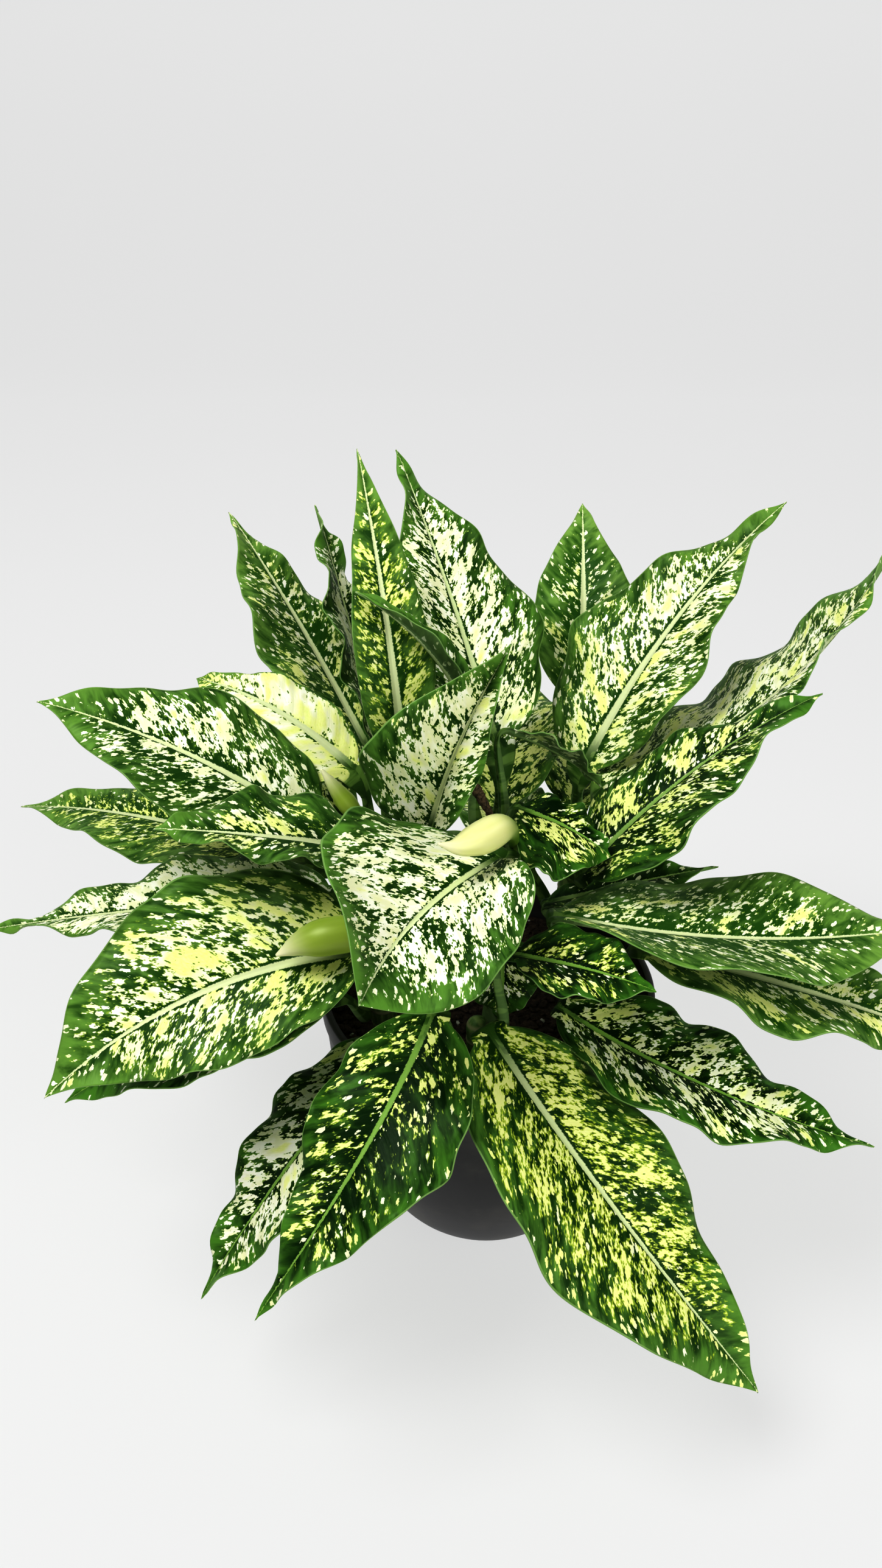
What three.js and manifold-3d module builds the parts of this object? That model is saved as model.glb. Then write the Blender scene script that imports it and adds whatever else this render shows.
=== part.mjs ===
// A spring snow chinese evergreen in a round-bottomed plastic pot, in millimetres, +Z up.
//
// The origin is the middle of the pot's flat base, on the surface that it stands on. The side that
// faces the viewer is -Y. A heading is a compass angle in degrees: 0 is +X, 90 is +Y.
//
// Six canes stand in the soil. Each leaf clasps its cane with its stalk and is one piece with it.
import * as THREE from "three";
import { mergeVertices } from "three/addons/utils/BufferGeometryUtils.js";
import Module from "manifold-3d";

// Driving dimensions

const DEG = Math.PI / 180;

// Between two pieces that touch on the real plant.
const GAP = 0.3;

const POT = { rim: 75, height: 125, base: 36, wall: 1.6, lip: 3.2, lipHeight: 9, floor: 2.4 };
// The pot's outer side from its flat base up to the lip, as radius and height.
const POT_SIDE = [[42, 2.5], [49, 10], [56, 24], [64.5, 46], [71, 78], [73.8, 116]];
const DRAIN = { count: 6, radius: 4.5, circle: 26 };
const SOIL = { top: 112, edge: 70.5, crown: 3, holeDepth: 42 };

const BLADE_THICKNESS = 0.9;
const RIB_DEPTH = 1.6;
const WIDEST_AT = 0.4;
const SHEATH_RADIUS = 3.4;
const STALK_RADIUS = 2.3;
// How far a stalk leans out of its cane's line where it leaves the cane.
const STALK_LEAN = 25 * DEG;

// How finely the round and the curved pieces are cut into faces.
const POT_SIDES = 32;
const CANE_SIDES = 10;
const HOLE_SIDES = 16;
const FLOWER_SIDES = 8;
const BLADE_STEPS = 26;
const BLADE_STATIONS = [1, 3, 6, 9, 12, 14, 16, 18, 20, 22, 24, 25, 26];
const STALK_STATIONS = 4;
const ACROSS = [-1, -0.5, 0, 0.5, 1];
// The same ten corners round a stalk, in degrees from its right-hand side.
const AROUND_STALK = [160, 125, 90, 55, 20, -20, -55, -90, -125, -160];

// The canes: where they stand in the soil, where they end, and how thick they are.
const CANES = {
  middle: { foot: [0, 12], top: [-2, 14, 196], radius: 6.5 },
  left: { foot: [-44, -22], top: [-50, -28, 160], radius: 6 },
  back_left: { foot: [-36, 34], top: [-44, 36, 178], radius: 6 },
  back_right: { foot: [36, 38], top: [42, 42, 178], radius: 6 },
  front: { foot: [-4, -42], top: [-6, -46, 138], radius: 6 },
  right: { foot: [42, -20], top: [46, -22, 152], radius: 6 },
};
const CANE_TIP = 5;

// What a blade is like where its own row doesn't say.
const PLAIN_BLADE = { swing: 0, roll: 0, twist: 0, fold: 14, cup: 0.1, taper: 2, tip: 0.4, lop: 0 };

// The leaves. from is the height at which the stalk leaves its cane, and foot is where the blade
// begins. It sets out at heading and rise, and has turned left by swing and down by droop at its tip.
// roll lowers its right-hand edge, and twist is more of that towards the tip. fold lifts both halves
// into a V. A low taper and a high tip make a long point, and lop makes the right-hand half wider.
// Each edge goes up and down by wave, waves times along the blade.
const LEAVES = [
  {
    name: "front_right", cane: "front", from: 128, foot: [-2, -61, 149],
    heading: 309, rise: -31, length: 170, width: 80, droop: 15, swing: 24, roll: -6, twist: 20,
    tip: 0.35, lop: 0.12, waves: 2.5, wave: 4, phase: 0.1,
  },
  {
    name: "front_left", cane: "front", from: 124, foot: [-25, -62, 158],
    heading: 250, rise: -19, length: 128, width: 60, droop: 26, swing: -34, roll: -13, twist: 8,
    taper: 1.2, tip: 0.5, lop: -0.12, waves: 3.5, wave: 3.5, phase: 0.3,
  },
  {
    name: "front_left_under", cane: "front", from: 118, foot: [-42, -48, 133],
    heading: 231, rise: -16, length: 125, width: 54, droop: 36, swing: -14, roll: 6,
    tip: 0.45, lop: -0.08, waves: 4, wave: 3, phase: 0.6,
  },
  {
    name: "front_under", cane: "front", from: 130, foot: [4, -30, 172],
    heading: 274, rise: -66, length: 38, width: 34, droop: 20,
    lop: 0, waves: 2.5, wave: 2, phase: 0.3,
  },
  {
    name: "left_big", cane: "left", from: 150, foot: [-52, -50, 180],
    heading: 189, rise: 1, length: 135, width: 78, droop: 37, swing: 18, roll: -29, twist: -9,
    taper: 2.4, tip: 0.6, lop: 0.16, waves: 3, wave: 3, phase: 0.5,
  },
  {
    name: "left_under", cane: "left", from: 132, foot: [-66, -42, 150],
    heading: 189, rise: -5, length: 121, width: 56, droop: 30, roll: -3, twist: -3,
    lop: -0.04, waves: 3, wave: 2, phase: 0.2,
  },
  {
    name: "left_long", cane: "left", from: 155, foot: [-68, -9, 176],
    heading: 173, rise: -7, length: 163, width: 61, droop: 8, roll: -4, twist: 6,
    taper: 1.2, tip: 0.45, lop: 0.12, waves: 4, wave: 3, phase: 0,
  },
  {
    name: "left_far", cane: "back_left", from: 150, foot: [-78, 34, 163],
    heading: 153, rise: 5, length: 188, width: 62, droop: 21, roll: -10,
    taper: 1.6, lop: -0.04, waves: 3, wave: 3, phase: 0.4,
  },
  {
    name: "upper_left", cane: "back_left", from: 172, foot: [-76, 19, 194],
    heading: 168, rise: 35, length: 130, width: 72, droop: 20, swing: 10, roll: -18,
    taper: 2.4, tip: 0.55, waves: 2.5, wave: 3, phase: 0.7,
  },
  {
    name: "left_small", cane: "middle", from: 170, foot: [-50, -20, 208],
    heading: 193, rise: 19, length: 85, width: 45, droop: 10, swing: -3, roll: -7,
    lop: 0.2, waves: 3, wave: 3, phase: 0.15,
  },
  {
    name: "left_back", cane: "back_left", from: 170, foot: [-61, 47, 208],
    heading: 146, rise: 31, length: 93, width: 54, droop: 32, swing: 6, roll: -27,
    taper: 2.4, tip: 0.35, lop: -0.34, waves: 3, wave: 2, phase: 0.1,
  },
  {
    name: "tall_left", cane: "back_left", from: 155, foot: [-56, 90, 192],
    heading: 137, rise: 53, length: 142, width: 57, droop: 17, swing: -4, roll: 6,
    taper: 1.8, tip: 0.5, lop: -0.24, waves: 3.5, wave: 3, phase: 0.2,
  },
  {
    name: "tall_folded", cane: "middle", from: 174, foot: [-49, 36, 226],
    heading: 118, rise: 66, length: 110, width: 37, droop: 22, swing: -4, roll: 44, twist: -3,
    tip: 0.45, lop: -0.08, waves: 4, wave: 3, phase: 0.6,
  },
  {
    name: "tall_green", cane: "middle", from: 180, foot: [-36, 8, 227],
    heading: 107, rise: 72, length: 134, width: 34, droop: 15, swing: 4,
    taper: 1.6, tip: 0.45, lop: 0.04, waves: 2, wave: 2, phase: 0.3,
  },
  {
    name: "tall_right", cane: "middle", from: 168, foot: [3, 38, 226],
    heading: 119, rise: 56, length: 137, width: 71, droop: 5, swing: 7, twist: 9,
    taper: 1.2, tip: 0.3, lop: 0.08, waves: 3, wave: 3.5, phase: 0.8,
  },
  {
    name: "tall_rolled", cane: "middle", from: 194, foot: [-5, 20, 238],
    heading: 182, rise: 75, length: 84, width: 20, droop: 44,
    fold: 50, waves: 2, wave: 1, phase: 0.0,
  },
  {
    name: "centre_upright", cane: "middle", from: 192, foot: [-25, 1, 205],
    heading: 342, rise: 79, length: 90, width: 60, droop: 19, swing: 30, roll: 78, twist: -10,
    fold: 42, taper: 1.5, tip: 0.5, lop: -0.34, waves: 2, wave: 3, phase: 0.4,
  },
  {
    name: "centre_front", cane: "middle", from: 186, foot: [2, -28, 209],
    heading: 224, rise: 3, length: 103, width: 88, droop: 5, swing: 33, roll: 11, twist: -66,
    fold: 24, taper: 3.4, tip: 0.03, lop: 0.09, waves: 2, wave: 2.5, phase: 0.1,
  },
  {
    name: "centre_right", cane: "middle", from: 172, foot: [13, 5, 212],
    heading: 340, rise: -7, length: 43, width: 44, droop: 34, swing: 10, roll: 15,
    lop: 0.16, waves: 3, wave: 3, phase: 0.7,
  },
  {
    name: "inner_right", cane: "middle", from: 186, foot: [10, 26, 238],
    heading: 0, rise: -20, length: 48, width: 26, droop: 30, roll: -30,
    waves: 3, wave: 2, phase: 0.2,
  },
  {
    name: "back_right_big", cane: "back_right", from: 174, foot: [45, 56, 204],
    heading: 40, rise: 55, length: 154, width: 68, droop: 22, swing: -14, roll: 13, twist: -3,
    taper: 1.2, tip: 0.5, lop: -0.16, waves: 3.5, wave: 4, phase: 0,
  },
  {
    name: "back_far", cane: "back_right", from: 156, foot: [48, 100, 216],
    heading: 88, rise: 58, length: 104, width: 51, droop: 19,
    taper: 1.8, waves: 2.5, wave: 2, phase: 0.5,
  },
  {
    name: "right_upright", cane: "back_right", from: 172, foot: [51, 41, 202],
    heading: 3, rise: 16, length: 177, width: 72, droop: -45, swing: 30, roll: -8, twist: -34,
    taper: 2.6, tip: 0.5, lop: -0.4, waves: 4, wave: 3.5, phase: 0.25,
  },
  {
    name: "right_middle", cane: "back_right", from: 158, foot: [40, 1, 183],
    heading: 19, rise: 48, length: 125, width: 59, droop: 23, swing: -11, roll: 9, twist: -14,
    taper: 1.4, tip: 0.25, lop: 0.16, waves: 3, wave: 3, phase: 0.6,
  },
  {
    name: "right_big", cane: "right", from: 146, foot: [27, -35, 186],
    heading: 359, rise: -14, length: 147, width: 80, droop: -20, swing: 6, roll: -24, twist: 40,
    taper: 2.6, tip: 0.35, lop: -0.06, waves: 2, wave: 3, phase: 0.9,
  },
  {
    name: "right_low", cane: "right", from: 144, foot: [61, -36, 170],
    heading: 352, rise: -9, length: 148, width: 58, droop: 14, swing: 3, twist: 19,
    taper: 1.2, lop: 0.04, waves: 3, wave: 4.5, phase: 0.3,
  },
  {
    name: "right_small", cane: "right", from: 148, foot: [27, 12, 159],
    heading: 4, rise: 14, length: 77, width: 24, droop: 4,
    waves: 3, wave: 2, phase: 0.1,
  },
  {
    name: "centre_low", cane: "front", from: 134, foot: [8, -61, 187],
    heading: 344, rise: 3, length: 54, width: 38, droop: 20, swing: 3, roll: 3, twist: 10,
    taper: 2.2, waves: 2.5, wave: 2, phase: 0.6,
  },
  {
    name: "right_front", cane: "right", from: 126, foot: [29, -37, 140],
    heading: 327, rise: -14, length: 139, width: 60, droop: 4, swing: 31, roll: 3,
    taper: 1.6, tip: 0.45, waves: 3.5, wave: 3.5, phase: 0.45,
  },
  {
    name: "back_low_left", cane: "back_left", from: 142, foot: [-64, 48, 178],
    heading: 146, rise: 16, length: 76, width: 50, droop: 34,
    waves: 3, wave: 3, phase: 0.2,
  },
  {
    name: "back_low_right", cane: "back_right", from: 142, foot: [44, 74, 172],
    heading: 70, rise: 14, length: 128, width: 60, droop: 48,
    waves: 3, wave: 3, phase: 0.8,
  },
  {
    name: "back_upper", cane: "middle", from: 142, foot: [8, 52, 186],
    heading: 88, rise: 24, length: 136, width: 62, droop: 48,
    waves: 3, wave: 3, phase: 0.5,
  },
  {
    name: "back_under", cane: "back_right", from: 128, foot: [18, 66, 150],
    heading: 100, rise: 6, length: 112, width: 54, droop: 44,
    waves: 3, wave: 3, phase: 0.35,
  },
];

// The hooded flowers and the dried stalks of old ones. Each grows out of its cane at from and goes
// through the points; its oval sections are listed as [share of the way, half width, half depth].
const HOOD = [[0, 1.8, 1.8], [0.25, 1.8, 1.8], [0.42, 4.5, 4], [0.56, 8, 7], [0.7, 7, 6],
  [0.84, 4, 3.4], [0.95, 2, 1.6], [1, 0.5, 0.5]];
const BUD = [[0, 1.8, 1.8], [0.3, 1.7, 1.7], [0.5, 3.6, 3], [0.66, 5, 4], [0.84, 3.2, 2.6], [1, 0.5, 0.5]];
const WITHERED = [[0, 1.6, 1.6], [0.45, 1.5, 1.5], [0.82, 2.4, 2], [1, 1, 1]];
const FLOWERS = [
  {
    name: "spathe_centre", cane: "middle", from: 160, sections: HOOD,
    points: [[9, -10, 201], [11.5, -26, 217], [4, -42, 229], [-8, -50, 234], [-21, -56, 235]],
  },
  {
    name: "spathe_left", cane: "left", from: 158, sections: HOOD,
    points: [[-41, -40, 176], [-43, -51, 190], [-56, -56, 196], [-72, -58, 194], [-84, -60, 189]],
  },
  {
    name: "spathe_upper_left", cane: "back_left", from: 172, sections: BUD,
    points: [[-49, 23, 190], [-57, 15, 203], [-64, 17, 212], [-72, 20, 223]],
  },
  {
    name: "dried_stalk_centre", cane: "middle", from: 196, sections: WITHERED,
    points: [[0, 5, 208], [-4, 3, 218], [-9, 5, 227]],
  },
  {
    name: "dried_stalk_left", cane: "left", from: 156, sections: WITHERED,
    points: [[-62, -29, 170], [-73, -29, 181], [-88, -25, 188]],
  },
];

const wasm = await Module();
wasm.setup();

// Solids

// A closed solid through rings of points. Every ring has as many points, and they turn clockwise
// when you look along the way from the first ring to the last. The second half of a ring is split
// into triangles the other way, so a thin waved blade's two faces follow each other.
function skin(rings) {
  const n = rings[0].length;
  const index = [];
  for (let i = 0; i + 1 < rings.length; i++) {
    for (let j = 0; j < n; j++) {
      const a = i * n + j;
      const b = i * n + ((j + 1) % n);
      if (j < n / 2) index.push(a, b, b + n, a, b + n, a + n);
      else index.push(a, b, a + n, b, b + n, a + n);
    }
  }
  const last = (rings.length - 1) * n;
  for (let j = 1; j + 1 < n; j++) {
    index.push(0, j + 1, j);
    index.push(last, last + j, last + j + 1);
  }
  const positions = rings.flat().flatMap((point) => point.toArray());
  const geometry = new THREE.BufferGeometry();
  geometry.setAttribute("position", new THREE.Float32BufferAttribute(positions, 3));
  geometry.setIndex(index);
  return geometry;
}

function solidOf(geometry) {
  const bare = geometry.clone();
  bare.deleteAttribute("normal");
  bare.deleteAttribute("uv");
  const merged = mergeVertices(bare, 1e-4);
  const vertProperties = merged.attributes.position.array;
  const triVerts = new Uint32Array(merged.index.array);
  return new wasm.Manifold(new wasm.Mesh({ numProp: 3, vertProperties, triVerts }));
}

function geometryOf(solid) {
  const mesh = solid.getMesh();
  const geometry = new THREE.BufferGeometry();
  geometry.setAttribute("position", new THREE.Float32BufferAttribute(mesh.vertProperties, 3));
  geometry.setIndex(new THREE.BufferAttribute(mesh.triVerts, 1));
  return geometry;
}

function smooth(from, to, x) {
  const t = Math.min(1, Math.max(0, (x - from) / (to - from)));
  return t * t * (3 - 2 * t);
}

// Canes

function caneAxis(cane) {
  const foot = new THREE.Vector3(...cane.foot, SOIL.top);
  const top = new THREE.Vector3(...cane.top);
  return { foot, top, up: top.clone().sub(foot).normalize() };
}

// A cane keeps its thickness in the soil and thins a little towards its top.
function caneRadius(cane, height) {
  return cane.radius * (1 - 0.2 * smooth(SOIL.top, cane.top[2], height));
}

function caneGeometry(cane) {
  const { foot, top } = caneAxis(cane);
  const bottom = foot.clone().setZ(SOIL.top - SOIL.holeDepth + GAP);
  const middle = foot.clone().lerp(top, 0.5);
  const tip = top.clone().setZ(top.z + CANE_TIP);
  const rings = [bottom, foot, middle, top].map((at) => circle(at, caneRadius(cane, at.z)));
  return skin([...rings, circle(tip, cane.radius / 4)]);
}

function circle(centre, radius) {
  return Array.from({ length: CANE_SIDES }, (_, k) => {
    const turn = (2 * Math.PI * k) / CANE_SIDES;
    return centre.clone().add(new THREE.Vector3(radius * Math.cos(turn), radius * Math.sin(turn), 0));
  });
}

// Where something that grows towards a point leaves its cane, a gap clear of it, and which way.
function leaveCane(cane, height, towards, radius) {
  const axis = caneAxis(cane);
  const node = axis.foot.clone().addScaledVector(axis.up, (height - SOIL.top) / axis.up.z);
  const out = towards.clone().sub(node);
  out.addScaledVector(axis.up, -out.dot(axis.up)).normalize();
  const way = axis.up.clone().multiplyScalar(Math.cos(STALK_LEAN)).addScaledVector(out, Math.sin(STALK_LEAN));
  const clear = caneRadius(cane, height) + GAP + radius * Math.cos(STALK_LEAN);
  return { start: node.addScaledVector(out, clear), way };
}

// Leaves

// Half the blade's width as a share of its widest, from its foot at 0 to its tip at 1.
function outline(leaf, t) {
  if (t < WIDEST_AT) return Math.sqrt(1 - (1 - t / WIDEST_AT) ** 2);
  const s = (t - WIDEST_AT) / (1 - WIDEST_AT);
  return (1 - s ** leaf.taper) * (1 - leaf.tip * s * s);
}

// The directions along the blade, to its right and up from its face, at a share of its length.
function bladeAxes(leaf, t) {
  const heading = (leaf.heading + leaf.swing * t) * DEG;
  const rise = (leaf.rise - leaf.droop * t) * DEG;
  const roll = (leaf.roll + leaf.twist * t) * DEG;
  const flat = Math.cos(rise);
  const along = new THREE.Vector3(flat * Math.cos(heading), flat * Math.sin(heading), Math.sin(rise));
  const right = new THREE.Vector3(Math.sin(heading), -Math.cos(heading), 0).applyAxisAngle(along, roll);
  return { along, right, up: new THREE.Vector3().crossVectors(right, along) };
}

// The midrib's place and directions at each even step along the blade, from the foot.
function midrib(leaf) {
  const finer = 8;
  const at = new THREE.Vector3();
  return Array.from({ length: BLADE_STEPS + 1 }, (_, i) => {
    const here = { at: at.clone(), ...bladeAxes(leaf, i / BLADE_STEPS) };
    for (let k = 0; k < finer; k++) {
      const t = (i + (k + 0.5) / finer) / BLADE_STEPS;
      at.addScaledVector(bladeAxes(leaf, t).along, leaf.length / BLADE_STEPS / finer);
    }
    return here;
  });
}

// A point of the blade's middle surface: u goes from its left edge at -1 to its right edge at 1.
function bladePoint(leaf, rib, t, u) {
  const broad = (leaf.width / 2) * (1 + leaf.lop * u) * outline(leaf, t);
  const half = Math.max(STALK_RADIUS * (1 - t), broad);
  const edge = u < 0 ? 0 : 0.37;
  const swell = leaf.wave * Math.sin(2 * Math.PI * (leaf.waves * t + leaf.phase + edge));
  const wave = swell * u * u * smooth(0, 0.25, t) * (1 - smooth(0.9, 1, t));
  const across = u * half * Math.cos(leaf.fold * DEG);
  const lift = Math.abs(u) * half * Math.sin(leaf.fold * DEG) - leaf.cup * u * u * half + wave;
  return rib.at.clone().addScaledVector(rib.right, across).addScaledVector(rib.up, lift);
}

function bladeRings(leaf) {
  const ribs = midrib(leaf);
  const surface = (i, u) => bladePoint(leaf, ribs[i], i / BLADE_STEPS, u);
  return BLADE_STATIONS.map((i) => {
    const ribDepth = RIB_DEPTH * (1 - i / BLADE_STEPS) + 0.2;
    const faces = ACROSS.map((u) => {
      const along = surface(Math.min(BLADE_STEPS, i + 1), u).sub(surface(Math.max(0, i - 1), u));
      const across = surface(i, Math.min(1, u + 0.25)).sub(surface(i, Math.max(-1, u - 0.25)));
      const normal = across.cross(along).normalize();
      const under = BLADE_THICKNESS / 2 + (u === 0 ? ribDepth : 0);
      const middle = surface(i, u);
      return {
        top: middle.clone().addScaledVector(normal, BLADE_THICKNESS / 2),
        under: middle.clone().addScaledVector(normal, -under),
      };
    });
    return [...faces.map((face) => face.top), ...faces.map((face) => face.under).reverse()];
  });
}

// The stalk is round where it clasps the cane and gets thinner, with a channel on top, to the blade.
function stalkRings(leaf) {
  const foot = new THREE.Vector3(...leaf.foot);
  const { start, way } = leaveCane(CANES[leaf.cane], leaf.from, foot, SHEATH_RADIUS);
  const blade = bladeAxes(leaf, 0);
  const reach = start.distanceTo(foot);
  const curve = new THREE.CubicBezierCurve3(
    start.clone().sub(foot),
    start.clone().sub(foot).addScaledVector(way, reach * 0.4),
    blade.along.clone().multiplyScalar(-reach * 0.35),
    new THREE.Vector3(),
  );
  return Array.from({ length: STALK_STATIONS }, (_, i) => {
    const s = i / STALK_STATIONS;
    const at = curve.getPoint(s);
    const along = curve.getTangent(s);
    const right = blade.right.clone().addScaledVector(along, -blade.right.dot(along)).normalize();
    const up = new THREE.Vector3().crossVectors(right, along);
    const radius = THREE.MathUtils.lerp(SHEATH_RADIUS, STALK_RADIUS, smooth(0, 0.7, s));
    return AROUND_STALK.map((turn) => {
      const height = Math.sin(turn * DEG) * (turn > 0 ? 1 - 0.5 * smooth(0, 0.5, s) : 1);
      return at
        .clone()
        .addScaledVector(right, radius * Math.cos(turn * DEG))
        .addScaledVector(up, radius * height);
    });
  });
}

function leafGeometry(row) {
  const leaf = { ...PLAIN_BLADE, ...row };
  return skin([...stalkRings(leaf), ...bladeRings(leaf)]);
}

// Flowers and dried stalks

function flowerGeometry({ cane, from, points, sections }) {
  const through = points.map((point) => new THREE.Vector3(...point));
  const { start, way } = leaveCane(CANES[cane], from, through[0], sections[0][1]);
  const curve = new THREE.CatmullRomCurve3([start, ...through]);
  const tip = through.at(-1).clone().sub(start);
  const right = tip.cross(way).normalize();
  const rings = sections.map(([share, width, depth]) => {
    const at = curve.getPoint(share);
    const along = share === 0 ? way : curve.getTangent(share);
    const side = right.clone().addScaledVector(along, -right.dot(along)).normalize();
    const up = new THREE.Vector3().crossVectors(along, side);
    return Array.from({ length: FLOWER_SIDES }, (_, k) => {
      const turn = (2 * Math.PI * k) / FLOWER_SIDES;
      return at
        .clone()
        .addScaledVector(side, width * Math.cos(turn))
        .addScaledVector(up, depth * Math.sin(turn));
    });
  });
  return skin(rings);
}

// Pot and soil

function lathe(profile) {
  const points = profile.map(([radius, height]) => new THREE.Vector2(radius, height));
  return new THREE.LatheGeometry(points, POT_SIDES).rotateX(Math.PI / 2);
}

// An upright pin, to cut a round hole with.
function pin(x, y, bottom, top, radius) {
  const geometry = new THREE.CylinderGeometry(radius, radius, top - bottom, HOLE_SIDES);
  return solidOf(geometry.rotateX(Math.PI / 2).translate(x, y, (top + bottom) / 2));
}

function potGeometry() {
  const lipBottom = POT.height - POT.lipHeight;
  const inside = [...POT_SIDE].reverse().map(([radius, height]) => [radius - POT.wall, height + 0.6]);
  const shell = solidOf(
    lathe([
      [0, 0],
      [POT.base, 0],
      ...POT_SIDE,
      [POT.rim, lipBottom],
      [POT.rim, POT.height - 1],
      [POT.rim - 1, POT.height],
      [POT.rim - POT.lip, POT.height],
      ...inside,
      [POT.base - POT.wall, POT.floor],
      [0, POT.floor],
    ]),
  );
  const drains = Array.from({ length: DRAIN.count }, (_, k) => {
    const turn = (2 * Math.PI * (k + 0.5)) / DRAIN.count;
    return pin(DRAIN.circle * Math.cos(turn), DRAIN.circle * Math.sin(turn), -1, POT.floor + 1, DRAIN.radius);
  });
  return geometryOf(shell.subtract(wasm.Manifold.union(drains)));
}

// The soil fills the pot to a little below its rim, with a plain hole for each cane.
function soilGeometry() {
  const bottom = POT.floor + GAP;
  const side = POT_SIDE.filter(([, height]) => height < SOIL.top);
  const mound = solidOf(
    lathe([
      [0, bottom],
      [POT.base - POT.wall - 2 * GAP, bottom],
      ...side.map(([radius, height]) => [radius - POT.wall - 1.5 * GAP, height + 0.9]),
      [SOIL.edge, SOIL.top],
      [SOIL.edge / 2, SOIL.top + 0.7 * SOIL.crown],
      [0, SOIL.top + SOIL.crown],
    ]),
  );
  const holes = Object.values(CANES).map(({ foot: [x, y], radius }) =>
    pin(x, y, SOIL.top - SOIL.holeDepth, SOIL.top + 10, radius + 2 * GAP),
  );
  return geometryOf(mound.subtract(wasm.Manifold.union(holes)));
}

// The whole plant

const plant = new THREE.Group();

function add(name, geometry, look, position = [0, 0, 0]) {
  const mesh = new THREE.Mesh(geometry, new THREE.MeshStandardMaterial({ metalness: 0, ...look }));
  mesh.name = name;
  mesh.position.set(...position);
  plant.add(mesh);
}

const PLASTIC = { color: 0x2b2b2d, roughness: 0.5 };
const EARTH = { color: 0x3a2a1e, roughness: 1 };
const STEM_GREEN = { color: 0x6f8f4a, roughness: 0.6 };
const LEAF_GREEN = { color: 0x7fa052, roughness: 0.45 };
const PALE_GREEN = { color: 0xd6dfa0, roughness: 0.5 };
const DRY_BROWN = { color: 0x5a3a22, roughness: 0.8 };

add("pot", potGeometry(), PLASTIC);
add("soil", soilGeometry(), EARTH);
for (const [name, cane] of Object.entries(CANES)) add("cane_" + name, caneGeometry(cane), STEM_GREEN);
for (const leaf of LEAVES) add("leaf_" + leaf.name, leafGeometry(leaf), LEAF_GREEN, leaf.foot);
for (const flower of FLOWERS) {
  add(flower.name, flowerGeometry(flower), flower.sections === WITHERED ? DRY_BROWN : PALE_GREEN);
}

export default plant;
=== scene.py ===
# %% [markdown]
# # A spring snow chinese evergreen in its pot
#
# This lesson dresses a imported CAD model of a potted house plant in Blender. The CAD model already
# has every piece at its true size and place: a plastic pot, the soil, six canes, thirty-three
# leaves, three hooded flowers and two dried stalks. Here each plain solid is replaced by a finer
# piece of the same form, and each gets a material made of nodes.
#
# Everything is in metres, and the origin is the middle of the pot's base. -Y faces the viewer.

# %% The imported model
import math
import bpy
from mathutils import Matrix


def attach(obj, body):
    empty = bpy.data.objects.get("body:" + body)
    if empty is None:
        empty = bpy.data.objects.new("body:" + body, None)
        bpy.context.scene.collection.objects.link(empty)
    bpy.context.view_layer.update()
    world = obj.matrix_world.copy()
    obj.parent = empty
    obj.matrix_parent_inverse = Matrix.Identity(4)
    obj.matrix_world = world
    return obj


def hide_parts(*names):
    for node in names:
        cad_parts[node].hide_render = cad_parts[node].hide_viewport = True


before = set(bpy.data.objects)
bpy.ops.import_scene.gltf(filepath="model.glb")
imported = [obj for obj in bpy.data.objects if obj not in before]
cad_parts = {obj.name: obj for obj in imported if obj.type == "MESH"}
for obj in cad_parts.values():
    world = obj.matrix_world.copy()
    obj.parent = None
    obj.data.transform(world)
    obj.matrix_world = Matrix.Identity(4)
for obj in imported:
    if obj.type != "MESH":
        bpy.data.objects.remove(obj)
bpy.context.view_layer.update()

from types import SimpleNamespace

import bpy
import numpy as np
from mathutils import Vector

MM = 0.001
print("CAD nodes:", len(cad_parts))

# %% [markdown]
# ## The camera
#
# The photograph looks down at the plant at thirty degrees below level, from about half a metre
# away and a little left of the pot's middle. A camera could be placed by eye, but then every leaf
# would be a little off. The pot's rim and base, whose sizes are known, fix it instead, so its
# numbers are typed in. The lens is short, which is why the near leaves look large.

# %% The camera
camera_data = bpy.data.cameras.new("camera")
camera_data.sensor_width = 36
camera_data.lens = 27.04
camera_data.clip_start = 0.01
camera = bpy.data.objects.new("camera", camera_data)
camera.location = (-0.021, -0.417, 0.468)
camera.rotation_euler = (math.radians(60), 0, 0)
bpy.context.scene.collection.objects.link(camera)
bpy.context.scene.camera = camera
print("lens in mm:", camera_data.lens)

# %% [markdown]
# ## Two helpers for meshes
#
# Most pieces here are skins: rings of points, one after another, joined into a closed form. A leaf
# and its stalk are one skin, and so are a cane and a hooded flower. Each starts as Blender's own
# grid, with a row for each ring. Its points are then put where the rings are, its two long sides
# are merged, and its ends are closed. An operator could not place the points of a waved leaf, so
# that one step is done with numbers, and everything around it is done with operators.

# %% Selecting and editing
def alone(piece):
    """Makes piece the only selected object, and the active one."""
    bpy.ops.object.select_all(action="DESELECT")
    piece.select_set(True)
    bpy.context.view_layer.objects.active = piece


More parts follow.
